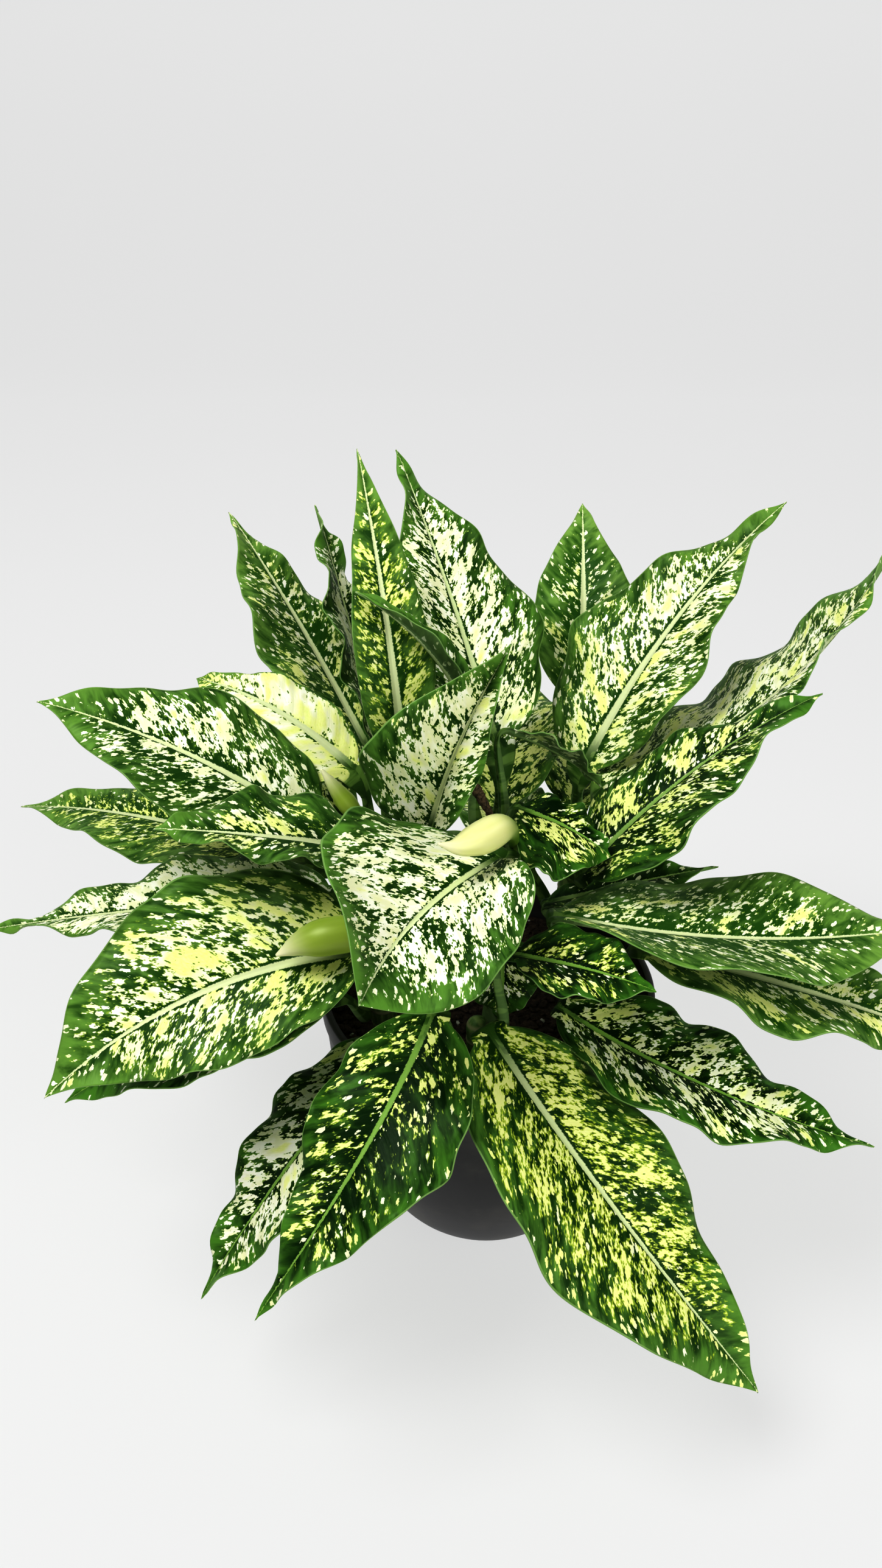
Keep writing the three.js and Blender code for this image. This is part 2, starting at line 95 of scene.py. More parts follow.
def skin(name, rings, marks={}):
    """A closed piece through rings of points in millimetres, given as an array (ring, point, 3).

    marks are values kept on the points: name -> an array (ring, point) or (ring, point, 3).
    """
    count, around = rings.shape[:2]
    bpy.ops.object.select_all(action="DESELECT")
    bpy.ops.mesh.primitive_grid_add(x_subdivisions=around, y_subdivisions=count - 1, size=1)
    piece = bpy.context.object
    piece.name = piece.data.name = name
    mesh = piece.data
    flat = np.empty(len(mesh.vertices) * 3)
    mesh.vertices.foreach_get("co", flat)
    flat = flat.reshape(-1, 3)
    point = np.rint((flat[:, 0] + 0.5) * around).astype(int) % around
    ring = np.rint((flat[:, 1] + 0.5) * (count - 1)).astype(int)
    mesh.vertices.foreach_set("co", (rings[ring, point] * MM).ravel())
    for mark, values in marks.items():
        kind = "FLOAT" if values.ndim == 2 else "FLOAT_VECTOR"
        layer = mesh.attributes.new(mark, kind, "POINT")
        layer.data.foreach_set("value" if values.ndim == 2 else "vector", values[ring, point].ravel())
    bpy.ops.object.mode_set(mode="EDIT")
    bpy.ops.mesh.select_all(action="SELECT")
    bpy.ops.mesh.remove_doubles(threshold=1e-6)
    bpy.ops.mesh.select_all(action="DESELECT")
    bpy.ops.mesh.select_non_manifold(extend=False, use_wire=False, use_multi_face=False, use_verts=False)
    bpy.ops.mesh.edge_face_add()
    bpy.ops.mesh.select_all(action="SELECT")
    bpy.ops.mesh.normals_make_consistent(inside=False)
    bpy.ops.object.mode_set(mode="OBJECT")
    bpy.ops.object.shade_smooth()
    return piece


def dress(piece, material, slot, *nodes):
    """Gives a finished piece its material, hangs it on the root, and hides the CAD parts that it replaces.
    """
    piece.data.materials.clear()
    piece.data.materials.append(material)
    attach(piece, "root")
    if nodes:
        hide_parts(*nodes)
    return piece


def smooth(low, high, x):
    """0 up to low, 1 from high on, and an even bend between them."""
    t = np.clip((np.asarray(x, float) - low) / (high - low), 0, 1)
    return t * t * (3 - 2 * t)


# %% [markdown]
# ## Helpers for materials
#
# A material is a small network of nodes. Wiring it by hand in the editor is fine for one, but
# these share so many steps that a few short functions make them easier to read: one adds a node
# and plugs in its inputs, and the others are the sums that every pattern needs.
#
# The photograph's shades are deep beside its bright paper. Colours could be darkened one by one,
# but then the shadows would stay pale. So the whole picture gets more contrast, by a view gamma
# below one at the end of the script. rgb undoes it for a typed colour, so that each colour below
# is the one that the screen shows in full light.

# %% Wiring nodes
class Finish:
    """A new material, with short ways to add and wire its nodes."""

    def __init__(self, name):
        self.material = bpy.data.materials.new(name)
        self.material.use_nodes = True
        self.tree = self.material.node_tree
        self.shader = self.tree.nodes["Principled BSDF"]

    def node(self, kind, inputs=(), **settings):
        made = self.tree.nodes.new("ShaderNode" + kind)
        for key, value in settings.items():
            setattr(made, key, value)
        for key, value in dict(inputs).items():
            self.plug(value, made.inputs[key])
        return made

    def plug(self, value, socket):
        if isinstance(value, bpy.types.NodeSocket):
            self.tree.links.new(value, socket)
        elif value is not None:
            socket.default_value = value

    def sum(self, operation, *values):
        made = self.node("Math", operation=operation)
        for socket, value in zip(made.inputs, values):
            self.plug(value, socket)
        return made.outputs[0]

    def step(self, low, high, value):
        """0 up to low, 1 from high on, with an even bend between them."""
        made = self.node("MapRange", {"Value": value, "From Min": low, "From Max": high},
                         interpolation_type="SMOOTHSTEP")
        return made.outputs[0]

    def centred(self, value, strength):
        """How far value is from a half, times strength."""
        return self.sum("MULTIPLY_ADD", value, strength, -strength / 2)

    def blend(self, share, first, second):
        made = self.node("Mix", data_type="RGBA")
        self.plug(share, made.inputs["Factor"])
        self.plug(first, made.inputs["A"])
        self.plug(second, made.inputs["B"])
        return made.outputs["Result"]

    def join(self, x, y, z):
        return self.node("CombineXYZ", {"X": x, "Y": y, "Z": z}).outputs[0]

    def split(self, vector):
        return self.node("SeparateXYZ", {"Vector": vector}).outputs

    def mark(self, name):
        """A value kept on the piece's own points."""
        return self.node("Attribute", attribute_name=name).outputs

    def place(self):
        return self.node("TexCoord").outputs["Object"]

    def noise(self, vector, scale=1.0, detail=2.0, roughness=0.5, distortion=0.0):
        made = self.node("TexNoise", {"Vector": vector, "Scale": scale, "Detail": detail,
                                      "Roughness": roughness, "Distortion": distortion})
        return made.outputs[0]

    def cells(self, vector, ragged):
        """Rounded cells with ragged edges: a number for each, and how far off its middle is."""
        warp = self.node("TexNoise", {"Vector": vector, "Scale": 1.7, "Detail": 2.0})
        moved = self.node("VectorMath", {"Vector": warp.outputs["Color"], "Scale": ragged * 2},
                          operation="SCALE").outputs[0]
        both = self.node("VectorMath", operation="ADD")
        self.plug(vector, both.inputs[0])
        self.plug(moved, both.inputs[1])
        made = self.node("TexVoronoi", {"Vector": both.outputs[0], "Scale": 1.0})
        return self.split(made.outputs["Color"])[0], made.outputs["Distance"]

    def bump(self, height, depth, strength=1.0):
        """Makes height stand out by depth millimetres."""
        made = self.node("Bump", {"Height": height, "Distance": depth * MM, "Strength": strength})
        self.plug(made.outputs[0], self.shader.inputs["Normal"])

    def set(self, **values):
        for key, value in values.items():
            self.plug(value, self.shader.inputs[key.replace("_", " ")])


CONTRAST = 0.56


def rgb(red, green, blue):
    """The 0 to 255 numbers that the screen shows in full light, made into a node's colour."""
    shown = [(c / 255) ** CONTRAST for c in (red, green, blue)]
    return tuple(((c + 0.055) / 1.055) ** 2.4 if c > 0.04 else c / 12.92 for c in shown) + (1.0,)


# %% [markdown]
# ## The leaf's finish
#
# A spring snow leaf is green and covered in crisp flecks of cream and pale yellow. The flecks
# follow the side veins, which leave the midrib at a slant and bend towards the tip, so noise that
# simply fills space would look wrong. A picture of a leaf would be quicker, but it would carry one
# leaf's flecks onto all of them.
#
# Each leaf therefore keeps some numbers on its own points. "blade" is how far across and along
# the blade they lie, in metres, and "spread" how far out and how far along as a share, with a 1
# underneath. Shearing the first two gives a coordinate that is the same all along a side vein.
# "look" says how much cream, how much yellow and how dark a green the leaf has, because no two
# leaves of the plant are alike.

# %% Where a leaf's points lie
VEIN_SLANT = 0.62
VEIN_BEND = 0.006


def leaf_marks(f):
    """The numbers that a leaf keeps on its points, and its place from one side vein to the next."""
    across, along, _ = f.split(f.mark("blade")["Vector"])
    edge, share, under = f.split(f.mark("spread")["Vector"])
    cream, yellow, dark = f.split(f.mark("look")["Vector"])
    across_mm = f.sum("MULTIPLY", f.sum("ABSOLUTE", across), 1000.0)
    along_mm = f.sum("MULTIPLY", along, 1000.0)
    lean = f.sum("MULTIPLY_ADD", across_mm, -VEIN_SLANT, along_mm)
    vein = f.sum("MULTIPLY_ADD", f.sum("MULTIPLY", across_mm, across_mm), -VEIN_BEND, lean)
    return SimpleNamespace(across_mm=across_mm, along_mm=along_mm, side=f.sum("SIGN", across), vein=vein,
                           edge=edge, share=share, under=under, cream=cream, yellow=yellow, dark=dark,
                           seed=f.mark("seed")["Fac"])


# %% [markdown]
# ### Flecks that follow the veins
#
# Noise that is squeezed across the veins and drawn out along them makes slanted flecks. Three
# sizes are added up later: large patches, the flecks, and their ragged edges. A soft one shades
# the green, and ragged round cells give small drops. Each leaf's seed moves it to its own part of
# the noise.

# %% The leaf's noises
def add_noises(f, leaf):
    def along_veins(across_vein, along_vein, offset):
        x = f.sum("MULTIPLY", leaf.vein, across_vein)
        y = f.sum("MULTIPLY_ADD", leaf.across_mm, along_vein, f.sum("MULTIPLY", leaf.side, 7.3))
        return f.join(x, y, f.sum("MULTIPLY_ADD", leaf.seed, 13.7, offset))

    leaf.patch = f.noise(along_veins(0.11, 0.08, 1.0), detail=1.0)
    leaf.fine = f.noise(along_veins(1.3, 0.9, 3.0), detail=1.0)
    leaf.tone = f.noise(along_veins(0.2, 0.12, 4.0), detail=3.0, distortion=0.5)
    leaf.blobs = f.noise(along_veins(0.44, 0.34, 2.0), detail=2.0, roughness=0.62)
    leaf.drop_size, leaf.drop_reach = f.cells(along_veins(0.31, 0.33, 5.0), ragged=0.4)


# %% [markdown]
# ### Where a leaf is cream
#
# Where the sum of the noises is high the leaf is cream, and just below that it is lime, which is
# the thin halo round a fleck. The margin, the tip and a thin strip on both sides of the midrib
# get less of it, so they stay greener. Where a leaf is mostly green, small drops of cream still
# lie on it.

# %% The shares of cream and lime
def add_flecks(f, leaf):
    rib_foot = f.sum("MULTIPLY_ADD", leaf.dark, -1.5, 2.7)
    rib_width = f.sum("MULTIPLY_ADD", f.sum("SUBTRACT", 1.0, leaf.share), rib_foot, 0.15)
    ragged = f.sum("MULTIPLY_ADD", leaf.fine, 0.9, f.sum("SUBTRACT", leaf.across_mm, 0.45))
    leaf.from_rib = f.sum("DIVIDE", ragged, rib_width)

    amount = f.sum("ADD", f.centred(leaf.blobs, 1.55), f.centred(leaf.fine, 0.4))
    amount = f.sum("ADD", amount, f.centred(leaf.patch, 1.1))
    amount = f.sum("ADD", amount, f.sum("MULTIPLY_ADD", leaf.cream, 0.8, -0.44))
    margin = f.sum("MULTIPLY", f.step(0.9, 0.99, leaf.edge), 0.8)
    greener_edge = f.sum("MULTIPLY_ADD", f.step(0.55, 1.0, leaf.edge), 0.24, margin)
    greener_tip = f.sum("MULTIPLY", f.step(0.68, 1.0, leaf.share), 0.55)
    amount = f.sum("SUBTRACT", amount, f.sum("ADD", greener_edge, greener_tip))
    beside_rib = f.sum("SUBTRACT", 1.0, f.step(1.1, 2.2, leaf.from_rib))
    amount = f.sum("MULTIPLY_ADD", beside_rib, -0.3, amount)

    reach = f.sum("MULTIPLY_ADD", f.step(0.25, 1.0, leaf.drop_size), 0.42, f.centred(leaf.fine, 0.4))
    drop = f.step(-0.015, 0.015, f.sum("SUBTRACT", reach, leaf.drop_reach))
    leaf.is_cream = f.sum("MAXIMUM", f.step(-0.012, 0.012, amount), drop)
    halo = f.sum("MULTIPLY_ADD", leaf.yellow, -0.13, -0.07)
    leaf.is_lime = f.node("MapRange", {"Value": amount, "From Min": halo, "From Max": -0.01}).outputs[0]


# %% [markdown]
# ### The leaf's colours
#
# The green is lighter towards the margin and the tip and darker beside the midrib: painted light on the
# outer blade and painted shade in the midrib's groove, with a soft noise that varies it at random as well.
# A leaf is yellower near its stalk. The midrib is a pale band with ragged edges, greener on a dark leaf and
# near the stalk. The underside is paler and duller all over.

# %% The colours of green and cream
def fleck_colour(f, leaf):
    # Painted light and shade: the green is lighter towards the margin and the tip, and darker beside the
    # midrib's groove.
    painted_light_near_tip = f.sum("MULTIPLY", f.step(0.6, 1.0, leaf.share), 0.3)
    painted_light_outwards = f.sum("ADD", f.sum("MULTIPLY_ADD", leaf.edge, 0.3, -0.1), painted_light_near_tip)
    tone_and_painted_light = f.step(0.42, 0.94, f.sum("ADD", leaf.tone, painted_light_outwards))
    light_green = f.blend(tone_and_painted_light, rgb(22, 60, 8), rgb(104, 148, 54))
    dark_green = f.blend(tone_and_painted_light, rgb(0, 12, 0), rgb(46, 100, 18))
    green = f.blend(leaf.dark, light_green, dark_green)
    lime = f.blend(leaf.yellow, rgb(112, 150, 46), rgb(182, 206, 40))

    white = f.blend(f.step(0.4, 0.6, leaf.tone), rgb(232, 234, 184), rgb(252, 252, 230))
    pale_yellow = f.blend(leaf.fine, rgb(220, 232, 96), rgb(246, 246, 168))
    near_stalk = f.sum("SUBTRACT", 1.0, f.step(0.05, 0.5, leaf.share))
    inner = f.sum("MULTIPLY_ADD", near_stalk, 0.5, 0.4)
    mixed = f.sum("MULTIPLY_ADD", leaf.yellow, inner, f.centred(leaf.tone, 0.5))
    is_yellow = f.step(0.66, 0.84, f.sum("ADD", leaf.patch, mixed))
    cream = f.blend(is_yellow, white, pale_yellow)
    return f.blend(leaf.is_cream, f.blend(leaf.is_lime, green, lime), cream)


# %% The leaf's finish
def leaf_finish():
    f = Finish("spring_snow_leaf")
    leaf = leaf_marks(f)
    add_noises(f, leaf)
    add_flecks(f, leaf)

    # Painted shade: the stalks' green is darker than their own, since they lie deep among the leaves. The
    # foot of the midrib takes this green too.
    shaded_stalk_green = f.blend(f.step(0.45, 0.6, leaf.tone), rgb(30, 60, 12), rgb(76, 110, 38))
    rib = f.blend(f.step(0.5, 0.9, leaf.dark), rgb(208, 218, 160), rgb(104, 150, 50))
    rib = f.blend(f.step(0.01, 0.14, leaf.share), shaded_stalk_green, rib)
    on_rib = f.sum("SUBTRACT", 1.0, f.step(0.85, 1.1, leaf.from_rib))
    on_stalk = f.step(0.0, 6.0, f.sum("MULTIPLY", leaf.along_mm, -1.0))
    colour = f.blend(on_rib, fleck_colour(f, leaf), rib)
    colour = f.blend(f.step(0.982, 0.992, leaf.edge), colour, rgb(104, 146, 66))
    colour = f.blend(on_stalk, colour, shaded_stalk_green)
    colour = f.blend(leaf.under, colour, f.blend(0.45, colour, rgb(112, 142, 84)))

    gloss = f.sum("MULTIPLY_ADD", leaf.under, 0.18, f.sum("MULTIPLY_ADD", leaf.fine, 0.12, 0.36))
    f.set(Base_Color=colour, Roughness=gloss, Subsurface_Weight=0.06)
    f.shader.inputs["Subsurface Radius"].default_value = (0.0012, 0.0016, 0.0004)
    f.shader.inputs["Specular IOR Level"].default_value = 0.2
    along_vein = f.sum("MULTIPLY", leaf.across_mm, 0.03)
    ridges = f.join(f.sum("MULTIPLY", leaf.vein, 0.8), along_vein, leaf.seed)
    f.bump(f.noise(ridges, detail=2.0), 0.25, 0.5)
    return f.material


LEAF_FINISH = leaf_finish()
print("leaf finish nodes:", len(LEAF_FINISH.node_tree.nodes))

# %% [markdown]
# ## The leaves
#
# Each leaf grows out of a cane with a stalk that clasps it, and opens into a broad blade with a
# long point. The table gives each one its own numbers, the same as in the CAD model apart from
# centre_right, which is a little wider. Lengths are in millimetres and angles in degrees:
#
# - cane, leaves_at and foot: its cane, how high the stalk leaves it, and where the blade begins
# - heading, rise, length and width: the way in which the blade sets out, and its size
# - waves, wave and phase: how many waves its edges have, how high, and where they begin
# - look: its share of cream, its share of yellow, and how dark its green is, each from 0 to 1
# - droop, swing, roll and twist: how the blade turns on the way to its tip
# - fold, cup, taper, tip and lop: how it is folded and curled, and how it narrows and leans
#
# A leaf could be sculpted, but a formula keeps thirty-three of them alike in kind, and keeps each
# one on its CAD solid. The blade is a middle surface with a thickness added on both sides. It is
# finer than the CAD model's: its margin is thin and curls a little, its top has a groove over the
# midrib and soft quilting between the side veins, and its underside has a round rib.

# %% The canes' numbers
SOIL_TOP = 112
GAP = 0.3
CANES = {
    "middle": dict(foot=(0, 12), top=(-2, 14, 196), radius=6.5),
    "left": dict(foot=(-44, -22), top=(-50, -28, 160), radius=6),
    "back_left": dict(foot=(-36, 34), top=(-44, 36, 178), radius=6),
    "back_right": dict(foot=(36, 38), top=(42, 42, 178), radius=6),
    "front": dict(foot=(-4, -42), top=(-6, -46, 138), radius=6),
    "right": dict(foot=(42, -20), top=(46, -22, 152), radius=6),
}


def cane_axis(cane):
    foot = np.array([*cane["foot"], SOIL_TOP], float)
    top = np.array(cane["top"], float)
    return foot, top, unit(top - foot)


def unit(vector):
    return vector / np.linalg.norm(vector, axis=-1, keepdims=True)


def cane_radius(cane, height):
    return cane["radius"] * (1 - 0.2 * smooth(SOIL_TOP, cane["top"][2], height))


def leave_cane(cane, height, towards, radius):
    """Where a stalk that grows towards a point leaves its cane, and which way it sets out."""
    foot, top, up = cane_axis(cane)
    at = foot + up * (height - SOIL_TOP) / up[2]
    out = np.array(towards, float) - at
    out = unit(out - up * np.dot(out, up))
    way = up * math.cos(STALK_LEAN) + out * math.sin(STALK_LEAN)
    clear = cane_radius(cane, height) + GAP + radius * math.cos(STALK_LEAN)
    return at + out * clear, way


# %% The leaves' numbers
FIRST = "cane leaves_at foot heading rise length width waves wave phase look".split()
PLAIN = dict(swing=0, roll=0, twist=0, fold=14, cup=0.1, taper=2, tip=0.4, lop=0)
LEAVES = {}


def grow(name, *first, **others):
    """Notes down one leaf: its first numbers in the order of FIRST, and what isn't plain."""
    LEAVES[name] = {**PLAIN, **dict(zip(FIRST, first)), **others}


grow("front_right", "front", 128, (-2, -61, 149), 309, -31, 170, 80, 2.5, 4, 0.1, (0.42, 0.85, 0.6),
     droop=15, swing=24, roll=-6, twist=20, tip=0.35, lop=0.12)
grow("front_left", "front", 124, (-25, -62, 158), 250, -19, 128, 60, 3.5, 3.5, 0.3, (0.28, 0.5, 0.85),
     droop=26, swing=-34, roll=-13, twist=8, taper=1.2, tip=0.5, lop=-0.12)
grow("front_left_under", "front", 118, (-42, -48, 133), 231, -16, 125, 54, 4, 3, 0.6, (0.58, 0.1, 0.85),
     droop=36, swing=-14, roll=6, tip=0.45, lop=-0.08)
grow("front_under", "front", 130, (4, -30, 172), 274, -66, 38, 34, 2.5, 2, 0.3, (0.4, 0.3, 0.9),
     droop=20, lop=0)
grow("left_big", "left", 150, (-52, -50, 180), 189, 1, 135, 78, 3, 3, 0.5, (0.54, 0.34, 0.35),
     droop=37, swing=18, roll=-29, twist=-9, taper=2.4, tip=0.6, lop=0.16)
grow("left_under", "left", 132, (-66, -42, 150), 189, -5, 121, 56, 3, 2, 0.2, (0.1, 0.2, 0.85),
     droop=30, roll=-3, twist=-3, lop=-0.04)
grow("left_long", "left", 155, (-68, -9, 176), 173, -7, 163, 61, 4, 3, 0, (0.68, 0.1, 0.3),
     droop=8, roll=-4, twist=6, taper=1.2, tip=0.45, lop=0.12)
grow("left_far", "back_left", 150, (-78, 34, 163), 153, 5, 188, 62, 3, 3, 0.4, (0.36, 0.6, 0.2),
     droop=21, roll=-10, taper=1.6, lop=-0.04)
grow("upper_left", "back_left", 172, (-76, 19, 194), 168, 35, 130, 72, 2.5, 3, 0.7, (0.52, 0.1, 0.4),
     droop=20, swing=10, roll=-18, taper=2.4, tip=0.55)
grow("left_small", "middle", 170, (-50, -20, 208), 193, 19, 85, 45, 3, 3, 0.15, (0.34, 0.3, 0.45),
     droop=10, swing=-3, roll=-7, lop=0.2)
grow("left_back", "back_left", 170, (-61, 47, 208), 146, 31, 93, 54, 3, 2, 0.1, (0.9, 0.4, 0.3),
     droop=32, swing=6, roll=-27, taper=2.4, tip=0.35, lop=-0.34)
grow("tall_left", "back_left", 155, (-56, 90, 192), 137, 53, 142, 57, 3.5, 3, 0.2, (0.38, 0.3, 0.1),
     droop=17, swing=-4, roll=6, taper=1.8, tip=0.5, lop=-0.24)
grow("tall_folded", "middle", 174, (-49, 36, 226), 118, 66, 110, 37, 4, 3, 0.6, (0.55, 0.1, 0.6),
     droop=22, swing=-4, roll=44, twist=-3, tip=0.45, lop=-0.08)
grow("tall_green", "middle", 180, (-36, 8, 227), 107, 72, 134, 34, 2, 2, 0.3, (0.4, 0.7, 0.3),
     droop=15, swing=4, taper=1.6, tip=0.45, lop=0.04)
grow("tall_right", "middle", 168, (3, 38, 226), 119, 56, 137, 71, 3, 3.5, 0.8, (0.6, 0.1, 0.6),
     droop=5, swing=7, twist=9, taper=1.2, tip=0.3, lop=0.08)
grow("tall_rolled", "middle", 194, (-5, 20, 238), 182, 75, 84, 20, 2, 1, 0.0, (0.1, 0.1, 0.5),
     droop=44, fold=50)
grow("centre_upright", "middle", 192, (-25, 1, 205), 342, 79, 90, 60, 2, 3, 0.4, (0.6, 0.1, 0.5),
     droop=19, swing=30, roll=78, twist=-10, fold=42, taper=1.5, tip=0.5, lop=-0.34)
grow("centre_front", "middle", 186, (2, -28, 209), 224, 3, 103, 88, 2, 2.5, 0.1, (0.59, 0, 0.55),
     droop=5, swing=33, roll=11, twist=-66, fold=24, taper=3.4, tip=0.03, lop=0.09)
grow("centre_right", "middle", 172, (13, 5, 212), 340, -7, 43, 47, 3, 3, 0.7, (0.3, 0.4, 0.95),
     droop=34, swing=10, roll=15, lop=0.45)
grow("inner_right", "middle", 186, (10, 26, 238), 0, -20, 48, 26, 3, 2, 0.2, (0.45, 0.2, 0.75),
     droop=30, roll=-30)
grow("back_right_big", "back_right", 174, (45, 56, 204), 40, 55, 154, 68, 3.5, 4, 0, (0.56, 0.25, 0.3),
     droop=22, swing=-14, roll=13, twist=-3, taper=1.2, tip=0.5, lop=-0.16)
grow("back_far", "back_right", 156, (48, 100, 216), 88, 58, 104, 51, 2.5, 2, 0.5, (0.28, 0.2, 0.0),
     droop=19, taper=1.8)
grow("right_upright", "back_right", 172, (51, 41, 202), 3, 16, 177, 72, 4, 3.5, 0.25, (0.6, 0.28, 0.5),
     droop=-45, swing=30, roll=-8, twist=-34, taper=2.6, tip=0.5, lop=-0.4)
grow("right_middle", "back_right", 158, (40, 1, 183), 19, 48, 125, 59, 3, 3, 0.6, (0.44, 0.4, 0.8),
     droop=23, swing=-11, roll=9, twist=-14, taper=1.4, tip=0.25, lop=0.16)
grow("right_big", "right", 146, (27, -35, 186), 359, -14, 147, 80, 2, 3, 0.9, (0.38, 0.2, 0.1),
     droop=-20, swing=6, roll=-24, twist=40, taper=2.6, tip=0.35, lop=-0.06)
grow("right_low", "right", 144, (61, -36, 170), 352, -9, 148, 58, 3, 4.5, 0.3, (0.42, 0.4, 0.05),
     droop=14, swing=3, twist=19, taper=1.2, lop=0.04)
grow("right_small", "right", 148, (27, 12, 159), 4, 14, 77, 24, 3, 2, 0.1, (0.15, 0.2, 0.75),
     droop=4)
grow("centre_low", "front", 134, (8, -61, 187), 344, 3, 54, 38, 2.5, 2, 0.6, (0.35, 0.6, 0.95),
     droop=20, swing=3, roll=3, twist=10, taper=2.2)
grow("right_front", "right", 126, (29, -37, 140), 327, -14, 139, 60, 3.5, 3.5, 0.45, (0.5, 0.25, 0.95),
     droop=4, swing=31, roll=3, taper=1.6, tip=0.45)
grow("back_low_left", "back_left", 142, (-64, 48, 178), 146, 16, 76, 50, 3, 3, 0.2, (0.5, 0.4, 0.5),
     droop=34)
grow("back_low_right", "back_right", 142, (44, 74, 172), 70, 14, 128, 60, 3, 3, 0.8, (0.5, 0.4, 0.5),
     droop=48)
grow("back_upper", "middle", 142, (8, 52, 186), 88, 24, 136, 62, 3, 3, 0.5, (0.5, 0.4, 0.5),
     droop=48)
grow("back_under", "back_right", 128, (18, 66, 150), 100, 6, 112, 54, 3, 3, 0.35, (0.5, 0.4, 0.5),
     droop=44)

WIDEST_AT = 0.4
SHEATH_RADIUS = 3.4
STALK_RADIUS = 2.3
STALK_LEAN = math.radians(25)
RIB_DEPTH = 1.6
GROOVE_DEPTH = 0.45
VEIN_SPACING = 6.5
QUILT_DEPTH = 0.16
print("leaves:", len(LEAVES))


# %% [markdown]
# ### The blade's surface
#
# These functions are the formula. Each takes whole arrays, one number for each ring and each point
# across, because a hundred rings of sixty-six points on thirty-three leaves would be slow one by one.

# %% The blade's surface
def outline(leaf, t):
    """Half the blade's width as a share of its widest, from its foot at 0 to its tip at 1."""
    near = np.sqrt(np.clip(1 - (1 - t / WIDEST_AT) ** 2, 0, 1))
    s = np.clip((t - WIDEST_AT) / (1 - WIDEST_AT), 0, 1)
    return np.where(t < WIDEST_AT, near, (1 - s ** leaf["taper"]) * (1 - leaf["tip"] * s * s))


def blade_axes(leaf, t):
    """The directions along the blade, to its right and up from its face."""
    heading = np.radians(leaf["heading"] + leaf["swing"] * t)
    rise = np.radians(leaf["rise"] - leaf["droop"] * t)
    roll = np.radians(leaf["roll"] + leaf["twist"] * t)[..., None]
    along = np.stack([np.cos(rise) * np.cos(heading), np.cos(rise) * np.sin(heading), np.sin(rise)], -1)
    level = np.stack([np.sin(heading), -np.cos(heading), 0 * t], -1)
    right = level * np.cos(roll) + np.cross(along, level) * np.sin(roll)
    return along, right, np.cross(right, along)


def midrib(leaf, t):
    """Points of the midrib, from the foot of the blade at (0, 0, 0)."""
    steps = 208
    middle = (np.arange(steps) + 0.5) / steps
    way = np.cumsum(blade_axes(leaf, middle)[0] * leaf["length"] / steps, axis=0)
    way = np.vstack([np.zeros(3), way])
    return np.stack([np.interp(t, np.linspace(0, 1, steps + 1), way[:, k]) for k in range(3)], -1)


def middle_surface(leaf, t, u):
    """Points of the blade's middle surface; u is -1 at its left edge and 1 at its right edge."""
    along, right, up = blade_axes(leaf, t)
    t, u = np.broadcast_arrays(t[:, None], u[None, :])
    calm = smooth(0, 0.25, t) * (1 - smooth(0.9, 1, t))
    side = np.where(u < 0, 0, 0.37)
    notch = 1 + 0.02 * np.sin(2 * np.pi * (1.9 * leaf["waves"] * t + 5 * leaf["phase"] + side)) * calm
    broad = leaf["width"] / 2 * (1 + leaf["lop"] * u) * outline(leaf, t) * notch
    half = np.maximum(STALK_RADIUS * (1 - t), broad)
    wave = leaf["wave"] * np.sin(2 * np.pi * (leaf["waves"] * t + leaf["phase"] + side)) * u * u
    ripple = 0.5 * np.sin(2 * np.pi * (2.7 * leaf["waves"] * t + 3 * leaf["phase"] + side)) * u ** 4
    fold = math.radians(leaf["fold"])
    across = u * half * math.cos(fold)
    lift = np.abs(u) * half * math.sin(fold) - leaf["cup"] * u * u * half + (wave + ripple) * calm
    points = right[:, None] * across[..., None] + up[:, None] * lift[..., None]
    return points + midrib(leaf, t[:, 0])[:, None], half


# %% The blade's rings
COLUMNS = 33
x = np.linspace(-1, 1, COLUMNS)
ACROSS = np.sign(x) * np.abs(x) ** 1.45
ALONG = np.concatenate([np.linspace(0.012, 0.1, 9)[:-1], np.linspace(0.1, 0.94, 78)[:-1],
                        1 - 0.06 * np.linspace(1, 0, 12) ** 1.4])


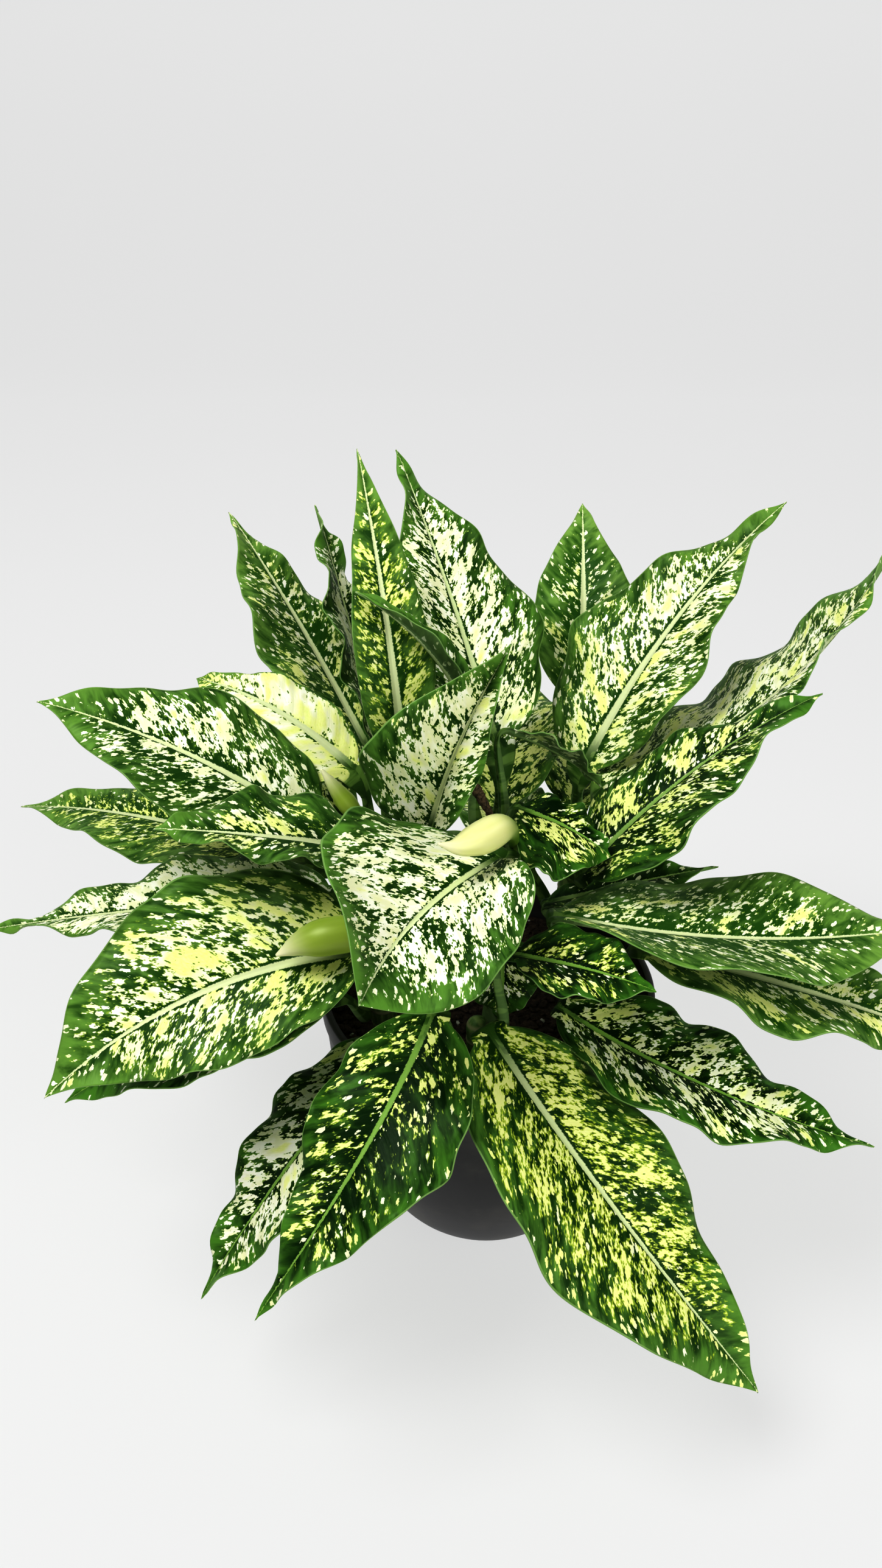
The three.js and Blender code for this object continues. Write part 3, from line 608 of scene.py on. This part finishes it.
def blade_rings(leaf):
    """The blade's rings, with the values that its finish reads, from its foot to its tip."""
    t, u = ALONG, ACROSS
    points, half = middle_surface(leaf, t, u)

    def between(near, far):
        return middle_surface(leaf, *far)[0] - middle_surface(leaf, *near)[0]

    ahead = between((t - 0.004, u), (np.minimum(t + 0.004, 1), u))
    beside = between((t, np.maximum(u - 0.03, -1)), (t, np.minimum(u + 0.03, 1)))
    normal = unit(np.cross(beside, ahead) + 1e-12)
    t, u = np.broadcast_arrays(t[:, None], u[None, :])
    width = u * half
    vein = t * leaf["length"] - VEIN_SLANT * np.abs(width) - VEIN_BEND * width ** 2
    inner = smooth(1.0, 5.0, np.abs(width)) * (1 - smooth(0.8, 0.97, np.abs(u)))
    quilt = QUILT_DEPTH * np.cos(2 * np.pi * vein / VEIN_SPACING) * inner * (1 - smooth(0.85, 0.97, t))
    rib_half = 2.1 * (1 - t) + 0.5
    rib = np.sqrt(np.clip(1 - (width / rib_half) ** 2, 0, 1))
    groove = GROOVE_DEPTH * (1 - 0.7 * t) * smooth(0.02, 0.15, t) * rib
    thick = 0.42 - 0.2 * smooth(0.6, 1, np.abs(u)) - 0.12 * smooth(0.9, 1, t)
    top = points + normal * (quilt + thick - groove)[..., None]
    under = points + normal * (quilt - thick - (RIB_DEPTH * (1 - t) + 0.2) * rib)[..., None]
    blade = np.stack([width * MM, t * leaf["length"] * MM, 0 * t], -1)
    spread = np.stack([np.abs(u), t, 0 * t], -1)
    beneath = spread + np.array([0, 0, 1.0])
    return (np.concatenate([top, under[:, ::-1]], 1), np.concatenate([blade, blade[:, ::-1]], 1),
            np.concatenate([spread, beneath[:, ::-1]], 1))


# %% [markdown]
# ### The stalk
#
# The stalk leaves its cane as a sheath that is open on top, and gets thinner and rounder towards
# the blade. Its middle line is a Bezier curve, as one would draw with the pen tool. The last rings
# turn gradually into the blade's first ring, so that there is no joint to hide.

# %% The stalk's rings
STALK_RINGS = 18


def stalk_rings(leaf, first):
    """The stalk's rings, from the cane to just before first, the blade's first ring."""
    foot = np.array(leaf["foot"], float)
    start, way = leave_cane(CANES[leaf["cane"]], leaf["leaves_at"], foot, SHEATH_RADIUS)
    along, right, up = (axis[0] for axis in blade_axes(leaf, np.zeros(1)))
    reach = np.linalg.norm(start - foot)
    p0 = start - foot
    p1 = p0 + way * reach * 0.4
    p2 = -along * reach * 0.35
    s = (np.arange(STALK_RINGS) / STALK_RINGS)[:, None]
    centre = (1 - s) ** 3 * p0 + 3 * (1 - s) ** 2 * s * p1 + 3 * (1 - s) * s * s * p2
    tangent = unit((1 - s) ** 2 * (p1 - p0) + 2 * (1 - s) * s * (p2 - p1) - s * s * p2)
    sideways = unit(right - tangent * (tangent @ right)[:, None])
    raised = np.cross(sideways, tangent)
    radius = SHEATH_RADIUS + (STALK_RADIUS - SHEATH_RADIUS) * smooth(0, 0.7, s)
    turn = np.linspace(175, 5, COLUMNS)
    turn = np.radians(np.concatenate([turn, -turn[::-1]]))
    x, y = np.cos(turn), np.sin(turn)
    deep = 0.15 + 0.75 * smooth(0, 0.25, s) * (1 - smooth(0.5, 0.9, s))
    channel = np.where(y > 0, np.exp(-(x / 0.55) ** 2), 0) * deep
    flatter = np.where(y > 0, 1 - 0.5 * smooth(0, 0.5, s), 1)
    rings = (centre[:, None] + sideways[:, None] * (radius * x)[..., None]
             + raised[:, None] * (radius * (y * flatter - 0.7 * channel))[..., None])
    turned = smooth(0.55, 1.0, s)[..., None]
    drawn = first[None] - first.mean(0) + centre[:, None]
    rings = rings * (1 - turned) + drawn * turned
    steps = np.linalg.norm(np.diff(centre, axis=0, append=np.zeros((1, 3))), axis=1)
    left = np.cumsum(steps[::-1])[::-1, None]
    blade = np.stack(np.broadcast_arrays(x * radius * MM, -left * MM, 0.0), -1)
    spread = np.stack(np.broadcast_arrays(0.0, 0.0, np.where(y < 0, 1.0, 0.0)[None] + 0 * s), -1)
    return rings, blade, spread


# %% Making every leaf
def make_leaf(name, leaf):
    rings, blade, spread = blade_rings(leaf)
    stalk, stalk_blade, stalk_spread = stalk_rings(leaf, rings[0])
    rings = np.concatenate([stalk, rings]) + np.array(leaf["foot"], float)
    marks = {
        "blade": np.concatenate([stalk_blade, blade]),
        "spread": np.concatenate([stalk_spread, spread]),
        "look": np.broadcast_to(np.array(leaf["look"], float), rings.shape),
        "seed": np.full(rings.shape[:2], float(list(LEAVES).index(name))),
    }
    piece = skin(name + "_leaf", rings, marks)
    return dress(piece, LEAF_FINISH, "leaf_green_and_cream", "leaf_" + name)


leaves = [make_leaf(*named) for named in LEAVES.items()]
print("leaf triangles:", sum(2 * len(leaf.data.polygons) for leaf in leaves))

# %% [markdown]
# ## The canes
#
# The canes are the plant's stems. Old leaves have left a pale ring each, about a finger's breadth
# apart, and the bark between is smooth and green. The rings could be painted on, but from the side
# their slight swelling shows in the outline, so they are in the shape and the colour both.

# %% The canes
RING_SPACING = 9.0
DOME_HEIGHT = 5
DOME_RINGS = 7


def cane_finish():
    f = Finish("cane_bark")
    height = f.mark("height")["Fac"]
    grain = f.noise(f.place(), scale=260, detail=3, roughness=0.6)
    streak = f.noise(f.node("Mapping", {"Vector": f.place(), "Scale": (500, 500, 40)}).outputs[0], detail=2)
    # Partly the canes' own colour and partly painted shade: the bark's green and its pale rings are
    # darkened, since the canes stand deep inside the plant.
    green = f.blend(f.step(0.35, 0.7, streak), rgb(48, 82, 26), rgb(104, 132, 60))
    phase = f.sum("FRACT", f.sum("DIVIDE", height, RING_SPACING))
    ring = f.sum("MULTIPLY", f.step(0.0, 0.1, phase), f.sum("SUBTRACT", 1.0, f.step(0.14, 0.3, phase)))
    colour = f.blend(ring, green, rgb(126, 126, 84))
    colour = f.blend(f.step(0.62, 0.75, grain), colour, rgb(112, 88, 54))
    f.set(Base_Color=colour, Roughness=f.sum("MULTIPLY_ADD", grain, 0.2, 0.38))
    f.bump(streak, 0.15, 0.6)
    return f.material


def make_cane(name, cane):
    foot, top, up = cane_axis(cane)
    bottom = np.array([foot[0], foot[1], SOIL_TOP - 42 + GAP])
    dome = top[2] + DOME_HEIGHT * np.sin(np.linspace(0.15, 1.57, DOME_RINGS))
    heights = np.concatenate([[bottom[2], 95], np.linspace(SOIL_TOP, top[2], 72), dome])
    share = np.clip((heights - SOIL_TOP) / (top[2] - SOIL_TOP), 0, 1)
    centre = foot + (top - foot) * share[:, None]
    centre[:, 2] = heights
    phase = (heights - SOIL_TOP) / RING_SPACING % 1
    swelling = 0.35 * np.exp(-((phase - 0.12) / 0.07) ** 2) * (heights > SOIL_TOP) * (heights < top[2])
    radius = cane_radius(cane, heights) - 0.1 + swelling
    share_up = (dome - top[2]) / (DOME_HEIGHT * 1.01)
    radius[-DOME_RINGS:] *= np.sqrt(np.clip(1 - share_up ** 2, 0.05, 1))
    turn = -2 * np.pi * np.arange(24) / 24
    rings = centre[:, None] + radius[:, None, None] * np.stack([np.cos(turn), np.sin(turn), 0 * turn], -1)
    mark = np.broadcast_to((heights - SOIL_TOP)[:, None], rings.shape[:2])
    piece = skin(name + "_cane", rings, {"height": mark})
    return dress(piece, CANE_FINISH, "cane_green", "cane_" + name)


CANE_FINISH = cane_finish()
canes = [make_cane(name, cane) for name, cane in CANES.items()]
print("canes:", len(canes))

# %% [markdown]
# ## Hooded flowers and dried stalks
#
# The plant's flower is a spike wrapped in a pale hood, the spathe, which is one leaf rolled round
# on itself and closed to a beak at its end. A ball stretched out would look like a fruit. Here the
# hood is a skin along a bent line whose sections are slightly spiral, so that the edge of the roll
# shows as a fine step along its side. A section is its share of the way and its half width and
# half depth in millimetres. ripe is how far the hood's colour has gone from green to cream. The
# hoods in the middle and on the left are a little fuller than their CAD solids. The two dried
# stalks are what old flowers leave behind. They are made in the same way, only thin, brown and
# rough.

# %% The flowers' numbers
HOOD = [(0, 1.8, 1.8), (0.25, 1.8, 1.8), (0.36, 4.8, 4.4), (0.48, 7.4, 6.8), (0.6, 7, 6.2),
        (0.74, 4.8, 4.2), (0.88, 2.2, 1.8), (1, 0.5, 0.5)]
FULL_HOOD = [(0, 1.8, 1.8), (0.25, 1.8, 1.8), (0.38, 4.8, 4.4), (0.54, 8, 7), (0.72, 8, 7),
             (0.86, 4.6, 4), (0.94, 2.2, 1.8), (1, 0.5, 0.5)]
BUD = [(0, 1.8, 1.8), (0.3, 1.7, 1.7), (0.5, 3.6, 3), (0.66, 5, 4), (0.84, 3.2, 2.6), (1, 0.5, 0.5)]
WITHERED = [(0, 1.6, 1.6), (0.45, 1.5, 1.5), (0.82, 2.4, 2), (1, 1, 1)]
FLOWERS = {
    "centre": dict(
        stands_for="spathe_centre", cane="middle", leaves_at=160, sections=HOOD, ripe=0.95,
        points=[(9, -10, 201), (3, -30, 225), (-7, -43, 228), (-15, -51, 230), (-22, -57, 235)]),
    "left": dict(
        stands_for="spathe_left", cane="left", leaves_at=158, sections=FULL_HOOD, ripe=0.12,
        points=[(-41, -40, 176), (-47, -51, 190), (-60, -57, 194), (-73, -59, 192), (-84, -61, 187)]),
    "upper_left": dict(
        stands_for="spathe_upper_left", cane="back_left", leaves_at=172, sections=BUD, ripe=0.1,
        points=[(-49, 23, 190), (-57, 15, 203), (-64, 17, 212), (-72, 20, 223)]),
    "dry_centre": dict(
        stands_for="dried_stalk_centre", cane="middle", leaves_at=196, sections=WITHERED,
        points=[(0, 5, 208), (-4, 3, 218), (-9, 5, 227)]),
    "dry_left": dict(
        stands_for="dried_stalk_left", cane="left", leaves_at=156, sections=WITHERED,
        points=[(-62, -29, 170), (-73, -29, 181), (-88, -25, 188)]),
}


def bent_line(points, share):
    """Points of a smooth line through points, at shares of the way, and its direction there."""
    p = np.array(points, float)
    p = np.vstack([2 * p[0] - p[1], p, 2 * p[-1] - p[-2]])
    gap = np.linalg.norm(np.diff(p, axis=0), axis=1) ** 0.5
    n = len(points) - 1
    at = np.clip(np.asarray(share) * n, 0, n - 1e-9)
    i = at.astype(int)
    w = (at - i)[:, None]
    a, b, c, d = p[i], p[i + 1], p[i + 2], p[i + 3]
    g0, g1, g2 = gap[i][:, None], gap[i + 1][:, None], gap[i + 2][:, None]
    m1 = ((b - a) / g0 - (c - a) / (g0 + g1) + (c - b) / g1) * g1
    m2 = ((c - b) / g1 - (d - b) / (g1 + g2) + (d - c) / g2) * g1
    k2, k3 = 3 * (c - b) - 2 * m1 - m2, 2 * (b - c) + m1 + m2
    return b + m1 * w + k2 * w ** 2 + k3 * w ** 3, unit(m1 + 2 * k2 * w + 3 * k3 * w ** 2)


# %% The flowers' shapes and finishes
def hood_finish():
    f = Finish("flower_hood")
    share, turn, ripe = f.split(f.mark("roll")["Vector"])
    long = f.noise(f.join(f.sum("MULTIPLY", turn, 9.0), f.sum("MULTIPLY", share, 2.0), ripe), detail=3)
    young = f.blend(long, rgb(104, 138, 18), rgb(150, 178, 44))
    old = f.blend(long, rgb(210, 212, 112), rgb(244, 240, 180))
    body = f.blend(ripe, young, old)
    colour = f.blend(f.step(0.72, 1.0, share), body, rgb(244, 240, 190))
    colour = f.blend(f.step(0.3, 0.52, share), rgb(78, 116, 22), colour)
    f.set(Base_Color=colour, Roughness=f.sum("MULTIPLY_ADD", long, 0.15, 0.3), Subsurface_Weight=0.12)
    f.shader.inputs["Subsurface Radius"].default_value = (0.002, 0.0024, 0.0006)
    f.bump(long, 0.2, 0.5)
    return f.material


def dried_finish():
    f = Finish("dried_stalk")
    grain = f.noise(f.place(), scale=900, detail=4, roughness=0.7)
    colour = f.blend(f.step(0.35, 0.65, grain), rgb(26, 20, 14), rgb(84, 64, 42))
    f.set(Base_Color=colour, Roughness=f.sum("MULTIPLY_ADD", grain, 0.2, 0.7))
    f.bump(grain, 0.5, 0.9)
    return f.material


def make_flower(name, flower):
    sections = np.array(flower["sections"], float)
    points = flower["points"]
    start, way = leave_cane(CANES[flower["cane"]], flower["leaves_at"], points[0], sections[0, 1])
    through = [start, *points]
    share = np.concatenate([np.linspace(0, 0.9, 40)[:-1], 1 - 0.1 * np.linspace(1, 0, 12) ** 1.5])
    centre, along = bent_line(through, share)
    along[0] = way
    tip = np.array(points[-1], float) - start
    right = unit(np.cross(tip, way))
    side = unit(right - along * (along @ right)[:, None])
    up = np.cross(along, side)
    withered = flower["sections"] is WITHERED
    width, depth = (np.interp(share, sections[:, 0], sections[:, k]) for k in (1, 2))
    if not withered:
        padded = [np.pad(half, 2, mode="edge") for half in (width, depth)]
        width, depth = (np.convolve(half, np.ones(5) / 5, "valid") for half in padded)
        width[-1] = depth[-1] = 0.25
    count = 40
    turn = 2 * np.pi * np.arange(count) / count
    roll = 1 - 0.09 * (np.arange(count) / count) * smooth(0.3, 0.5, share)[:, None] * (not withered)
    rough = 1 + 0.16 * np.sin(turn * 3 + share[:, None] * 40) * np.sin(share[:, None] * 90) * withered
    rings = (centre[:, None] + side[:, None] * (width[:, None] * roll * rough * np.cos(turn))[..., None]
             + up[:, None] * (depth[:, None] * roll * rough * np.sin(turn))[..., None])
    mark = np.stack(np.broadcast_arrays(share[:, None], turn / (2 * np.pi), flower.get("ripe", 0.0)), -1)
    piece = skin(name + ("_stub" if withered else "_hood"), rings, {"roll": mark})
    slot = "dried_stalk_brown" if withered else "spathe_pale_green"
    return dress(piece, DRIED_FINISH if withered else HOOD_FINISH, slot, flower["stands_for"])


HOOD_FINISH = hood_finish()
DRIED_FINISH = dried_finish()
flowers = [make_flower(name, flower) for name, flower in FLOWERS.items()]
print("flowers and dried stalks:", len(flowers))

# %% [markdown]
# ## The pot
#
# The pot is moulded in one go from dark plastic, with a thick lip and a rounded lower side. It is
# shaped as by hand: a disc is added, its rim is extruded and scaled step by step up the outside,
# over the lip and down the inside, and a last face closes the floor. The corners of that line are
# cut twice beforehand, which rounds them. Its CAD solid has thirty-two flat sides, and this one
# has ninety-six.

# %% The pot's shape
POT_SIDE = [(36, 0), (42, 2.5), (49, 10), (56, 24), (64.5, 46), (71, 78), (73.8, 116)]
POT_WALL = 1.6
POT_SIDES = 96


def rounded(profile, rounds=2):
    """The same line with its corners cut, as many times as rounds says."""
    p = np.array(profile, float)
    for _ in range(rounds):
        cut = np.stack([p[:-1] * 0.75 + p[1:] * 0.25, p[:-1] * 0.25 + p[1:] * 0.75], 1).reshape(-1, 2)
        p = np.vstack([p[:1], cut, p[-1:]])
    return p


def make_pot():
    outside = rounded(POT_SIDE)
    lip = [(75, 116), (75, 124), (74.6, 124.7), (74, 125), (72.4, 125), (71.8, 124.6)]
    inside = [(radius - POT_WALL, height + 0.6) for radius, height in outside[::-1] if height > 3]
    profile = [*outside[1:], *lip, *inside, (34.4, 2.4)]
    bpy.ops.object.select_all(action="DESELECT")
    at = POT_SIDE[0]
    bpy.ops.mesh.primitive_circle_add(vertices=POT_SIDES, radius=at[0] * MM, fill_type="NGON")
    pot = bpy.context.object
    pot.name = pot.data.name = "grower_pot"
    bpy.ops.object.mode_set(mode="EDIT")
    bpy.ops.mesh.select_all(action="DESELECT")
    bpy.ops.mesh.select_mode(type="EDGE")
    bpy.ops.mesh.select_non_manifold(extend=False)
    for radius, height in profile:
        bpy.ops.mesh.extrude_edges_move(TRANSFORM_OT_translate={"value": (0, 0, (height - at[1]) * MM)})
        wider = radius / at[0]
        bpy.ops.transform.resize(value=(wider, wider, 1), center_override=(0, 0, height * MM))
        at = (radius, height)
    bpy.ops.mesh.edge_face_add()
    bpy.ops.mesh.select_all(action="SELECT")
    bpy.ops.mesh.normals_make_consistent(inside=False)
    bpy.ops.object.mode_set(mode="OBJECT")
    return pot


pot = make_pot()
print("pot faces:", len(pot.data.polygons))

# %% [markdown]
# ### Drain holes
#
# Six round holes in the floor let water out. A boolean modifier cuts them with cylinders, which are
# deleted once it is applied.

# %% The drain holes
DRAINS = 6
DRAIN_CIRCLE = 26
DRAIN_RADIUS = 4.5


def cut_drains(pot):
    for k in range(DRAINS):
        turn = 2 * math.pi * (k + 0.5) / DRAINS
        at = (DRAIN_CIRCLE * MM * math.cos(turn), DRAIN_CIRCLE * MM * math.sin(turn), 1 * MM)
        bpy.ops.object.select_all(action="DESELECT")
        bpy.ops.mesh.primitive_cylinder_add(
            vertices=24, radius=DRAIN_RADIUS * MM, depth=8 * MM, location=at)
        drill = bpy.context.object
        alone(pot)
        cut = pot.modifiers.new("drain", "BOOLEAN")
        cut.operation = "DIFFERENCE"
        cut.object = drill
        bpy.ops.object.modifier_apply(modifier=cut.name)
        bpy.data.objects.remove(drill)
    alone(pot)
    bpy.ops.object.shade_smooth_by_angle(angle=math.radians(35))


def pot_finish():
    f = Finish("pot_plastic")
    grain = f.noise(f.place(), scale=2600, detail=2)
    dust = f.noise(f.place(), scale=35, detail=4, roughness=0.6)
    colour = f.blend(f.step(0.4, 0.75, dust), rgb(34, 34, 35), rgb(52, 51, 49))
    f.set(Base_Color=colour, Roughness=f.sum("MULTIPLY_ADD", dust, 0.2, 0.3))
    f.bump(grain, 0.04, 0.4)
    return f.material


cut_drains(pot)
dress(pot, pot_finish(), "pot_plastic", "pot")
print("pot faces with its drains:", len(pot.data.polygons))

# %% [markdown]
# ## The soil
#
# Potting soil is a mound of dark crumbs. A smooth mound would look like clay, and a mesh fine enough
# for every crumb would be huge, so it is made in two layers: a mound whose top a Displace modifier
# makes lumpy, and loose crumbs of bark and a few white grains of perlite lying on it. One crumb is
# modelled, and the others are turned and stretched copies of it, joined into one mesh.

# %% The mound of soil
def mound_height(radius):
    return SOIL_TOP + 3 * (1 - (radius / 70.5) ** 2)


def make_mound():
    pot_side = rounded(POT_SIDE, 1)
    side = [(radius - POT_WALL - 0.5, height + 0.9) for radius, height in pot_side if 3 < height < 110]
    tops = [(radius, mound_height(radius)) for radius in np.linspace(70.3, 0.5, 44)]
    profile = np.array([(0.5, 2.8), (33.6, 2.8), *side, *tops])
    turn = -2 * np.pi * np.arange(120) / 120
    circle = np.stack([np.cos(turn), np.sin(turn), 0 * turn], -1)
    rings = profile[:, None, :1] * circle + profile[:, None, 1:] * np.array([0, 0, 1.0])
    mound = skin("soil_mound", rings)
    top = mound.vertex_groups.new(name="top")
    points = mound.data.vertices
    inner = [v.index for v in points if v.co.z > 111.5 * MM and v.co.xy.length < 69.5 * MM]
    top.add(inner, 1.0, "REPLACE")
    lumps = bpy.data.textures.new("lumps", "CLOUDS")
    lumps.noise_scale = 0.006
    lumps.noise_depth = 4
    alone(mound)
    swell = mound.modifiers.new("lumps", "DISPLACE")
    swell.texture, swell.vertex_group, swell.strength, swell.mid_level = lumps, "top", 0.004, 0.55
    bpy.ops.object.modifier_apply(modifier=swell.name)
    return mound


def soil_finish():
    f = Finish("soil")
    grain = f.noise(f.place(), scale=420, detail=5, roughness=0.7)
    colour = f.blend(f.step(0.35, 0.7, grain), rgb(14, 10, 7), rgb(60, 43, 30))
    f.set(Base_Color=colour, Roughness=f.sum("MULTIPLY_ADD", grain, 0.1, 0.86))
    f.bump(grain, 1.2, 0.9)
    return f.material


mound = dress(make_mound(), soil_finish(), "potting_soil", "soil")
print("mound triangles:", 2 * len(mound.data.polygons))


# %% The crumbs on the soil
def scatter(name, count, sizes, seed, flat):
    """One mesh of many small lumps lying on the mound, clear of the canes."""
    bpy.ops.object.select_all(action="DESELECT")
    bpy.ops.mesh.primitive_ico_sphere_add(subdivisions=1, radius=1)
    lump = bpy.context.object
    corners = np.array([v.co for v in lump.data.vertices])
    faces = np.array([p.vertices for p in lump.data.polygons])
    bpy.data.objects.remove(lump)
    rng = np.random.default_rng(seed)
    every, joined = [], []
    while len(every) < count:
        radius, turn = 69 * math.sqrt(rng.random()), 2 * math.pi * rng.random()
        at = np.array([radius * math.cos(turn), radius * math.sin(turn)])
        if any(np.hypot(*(at - cane["foot"])) < cane["radius"] + 2 for cane in CANES.values()):
            continue
        size = rng.uniform(*sizes)
        shape = corners * rng.uniform(0.6, 1.0, corners.shape) * size * np.array([1.5, 1.0, flat])
        spin = rng.uniform(0, 2 * math.pi)
        cos, sin = math.cos(spin), math.sin(spin)
        turned = shape @ np.array([[cos, sin, 0], [-sin, cos, 0], [0, 0, 1]])
        turned = turned + np.array([*at, mound_height(radius) + 0.3])
        joined.append(faces + len(every) * len(corners))
        every.append(turned * MM)
    mesh = bpy.data.meshes.new(name)
    mesh.from_pydata(np.concatenate(every).tolist(), [], np.concatenate(joined).tolist())
    piece = bpy.data.objects.new(name, mesh)
    bpy.context.scene.collection.objects.link(piece)
    return piece


def perlite_finish():
    f = Finish("perlite")
    grain = f.noise(f.place(), scale=1500, detail=3)
    colour = f.blend(f.step(0.3, 0.7, grain), rgb(176, 172, 160), rgb(226, 224, 216))
    f.set(Base_Color=colour, Roughness=f.sum("MULTIPLY_ADD", grain, 0.1, 0.85))
    f.bump(grain, 0.4, 0.8)
    return f.material


bark = scatter("bark_crumbs", 1500, (0.7, 2.4), seed=4, flat=0.6)
dress(bark, soil_finish(), "potting_soil")
perlite = scatter("perlite_grains", 90, (0.7, 1.5), seed=9, flat=0.9)
dress(perlite, perlite_finish(), "potting_soil")
print("crumb faces:", len(bark.data.polygons) + len(perlite.data.polygons))

# %% [markdown]
# ## The studio
#
# The plant stands on a seamless white sweep: a floor that bends up into a wall, so that no horizon
# shows. Two large soft lamps leave only a faint shadow under the pot. The key lamp hangs high on
# the left and a little in front, and the fill lamp stands low at the front on the right. In a
# white studio the walls throw light back everywhere. Building that room would make the render
# slow, so the paper glows a little by itself, and the surround is dim and even.

# %% The sweep
def make_sweep():
    bpy.ops.object.select_all(action="DESELECT")
    bpy.ops.mesh.primitive_plane_add(size=6, location=(0, -1.2, -0.0004))
    sweep = bpy.context.object
    sweep.name = "studio_sweep"
    bpy.ops.object.mode_set(mode="EDIT")
    bpy.ops.mesh.select_mode(type="EDGE")
    bpy.ops.mesh.select_all(action="DESELECT")
    bpy.ops.object.mode_set(mode="OBJECT")
    for edge in sweep.data.edges:
        edge.select = all(sweep.data.vertices[v].co.y > 0 for v in edge.vertices)
    bpy.ops.object.mode_set(mode="EDIT")
    for k in range(12):
        turn = math.radians(90 * (k + 0.5) / 12)
        step = 0.08
        bpy.ops.mesh.extrude_edges_move(
            TRANSFORM_OT_translate={"value": (0, step * math.cos(turn), step * math.sin(turn))})
    bpy.ops.mesh.extrude_edges_move(TRANSFORM_OT_translate={"value": (0, 0, 3)})
    bpy.ops.object.mode_set(mode="OBJECT")
    bpy.ops.object.transform_apply(location=True, rotation=True, scale=True)
    bpy.ops.object.shade_smooth()
    return sweep


def sweep_finish():
    f = Finish("studio_paper")
    mottle = f.noise(f.place(), scale=3, detail=2)
    f.set(Base_Color=f.blend(mottle, rgb(58, 58, 58), rgb(60, 60, 60)))
    f.shader.inputs["Emission Color"].default_value = rgb(203, 203, 203)
    f.shader.inputs["Emission Strength"].default_value = 1.0
    f.shader.inputs["Roughness"].default_value = 0.9
    f.shader.inputs["Specular IOR Level"].default_value = 0.1
    return f.material


sweep = make_sweep()
sweep.data.materials.append(sweep_finish())
print("sweep size in m:", [round(x, 2) for x in sweep.dimensions])


# %% The lamps
def lamp(name, place, aim, size, power):
    data = bpy.data.lights.new(name, "AREA")
    data.shape = "DISK"
    data.size = size
    data.energy = power
    made = bpy.data.objects.new(name, data)
    made.location = place
    made.rotation_euler = (Vector(aim) - Vector(place)).to_track_quat("-Z", "Y").to_euler()
    bpy.context.scene.collection.objects.link(made)


lamp("key_lamp", (-0.7, -0.3, 1.7), (0, 0, 0.18), 1.0, 23)
lamp("fill_lamp", (1.2, -1.4, 1.0), (0.1, -0.05, 0.1), 1.8, 24)
world = bpy.data.worlds.new("studio_air")
bpy.context.scene.world = world
world.use_nodes = True
world.node_tree.nodes["Background"].inputs["Color"].default_value = (1.0, 1.0, 1.0, 1.0)
world.node_tree.nodes["Background"].inputs["Strength"].default_value = 0.22
bpy.context.scene.view_settings.view_transform = "Standard"
bpy.context.scene.view_settings.gamma = CONTRAST
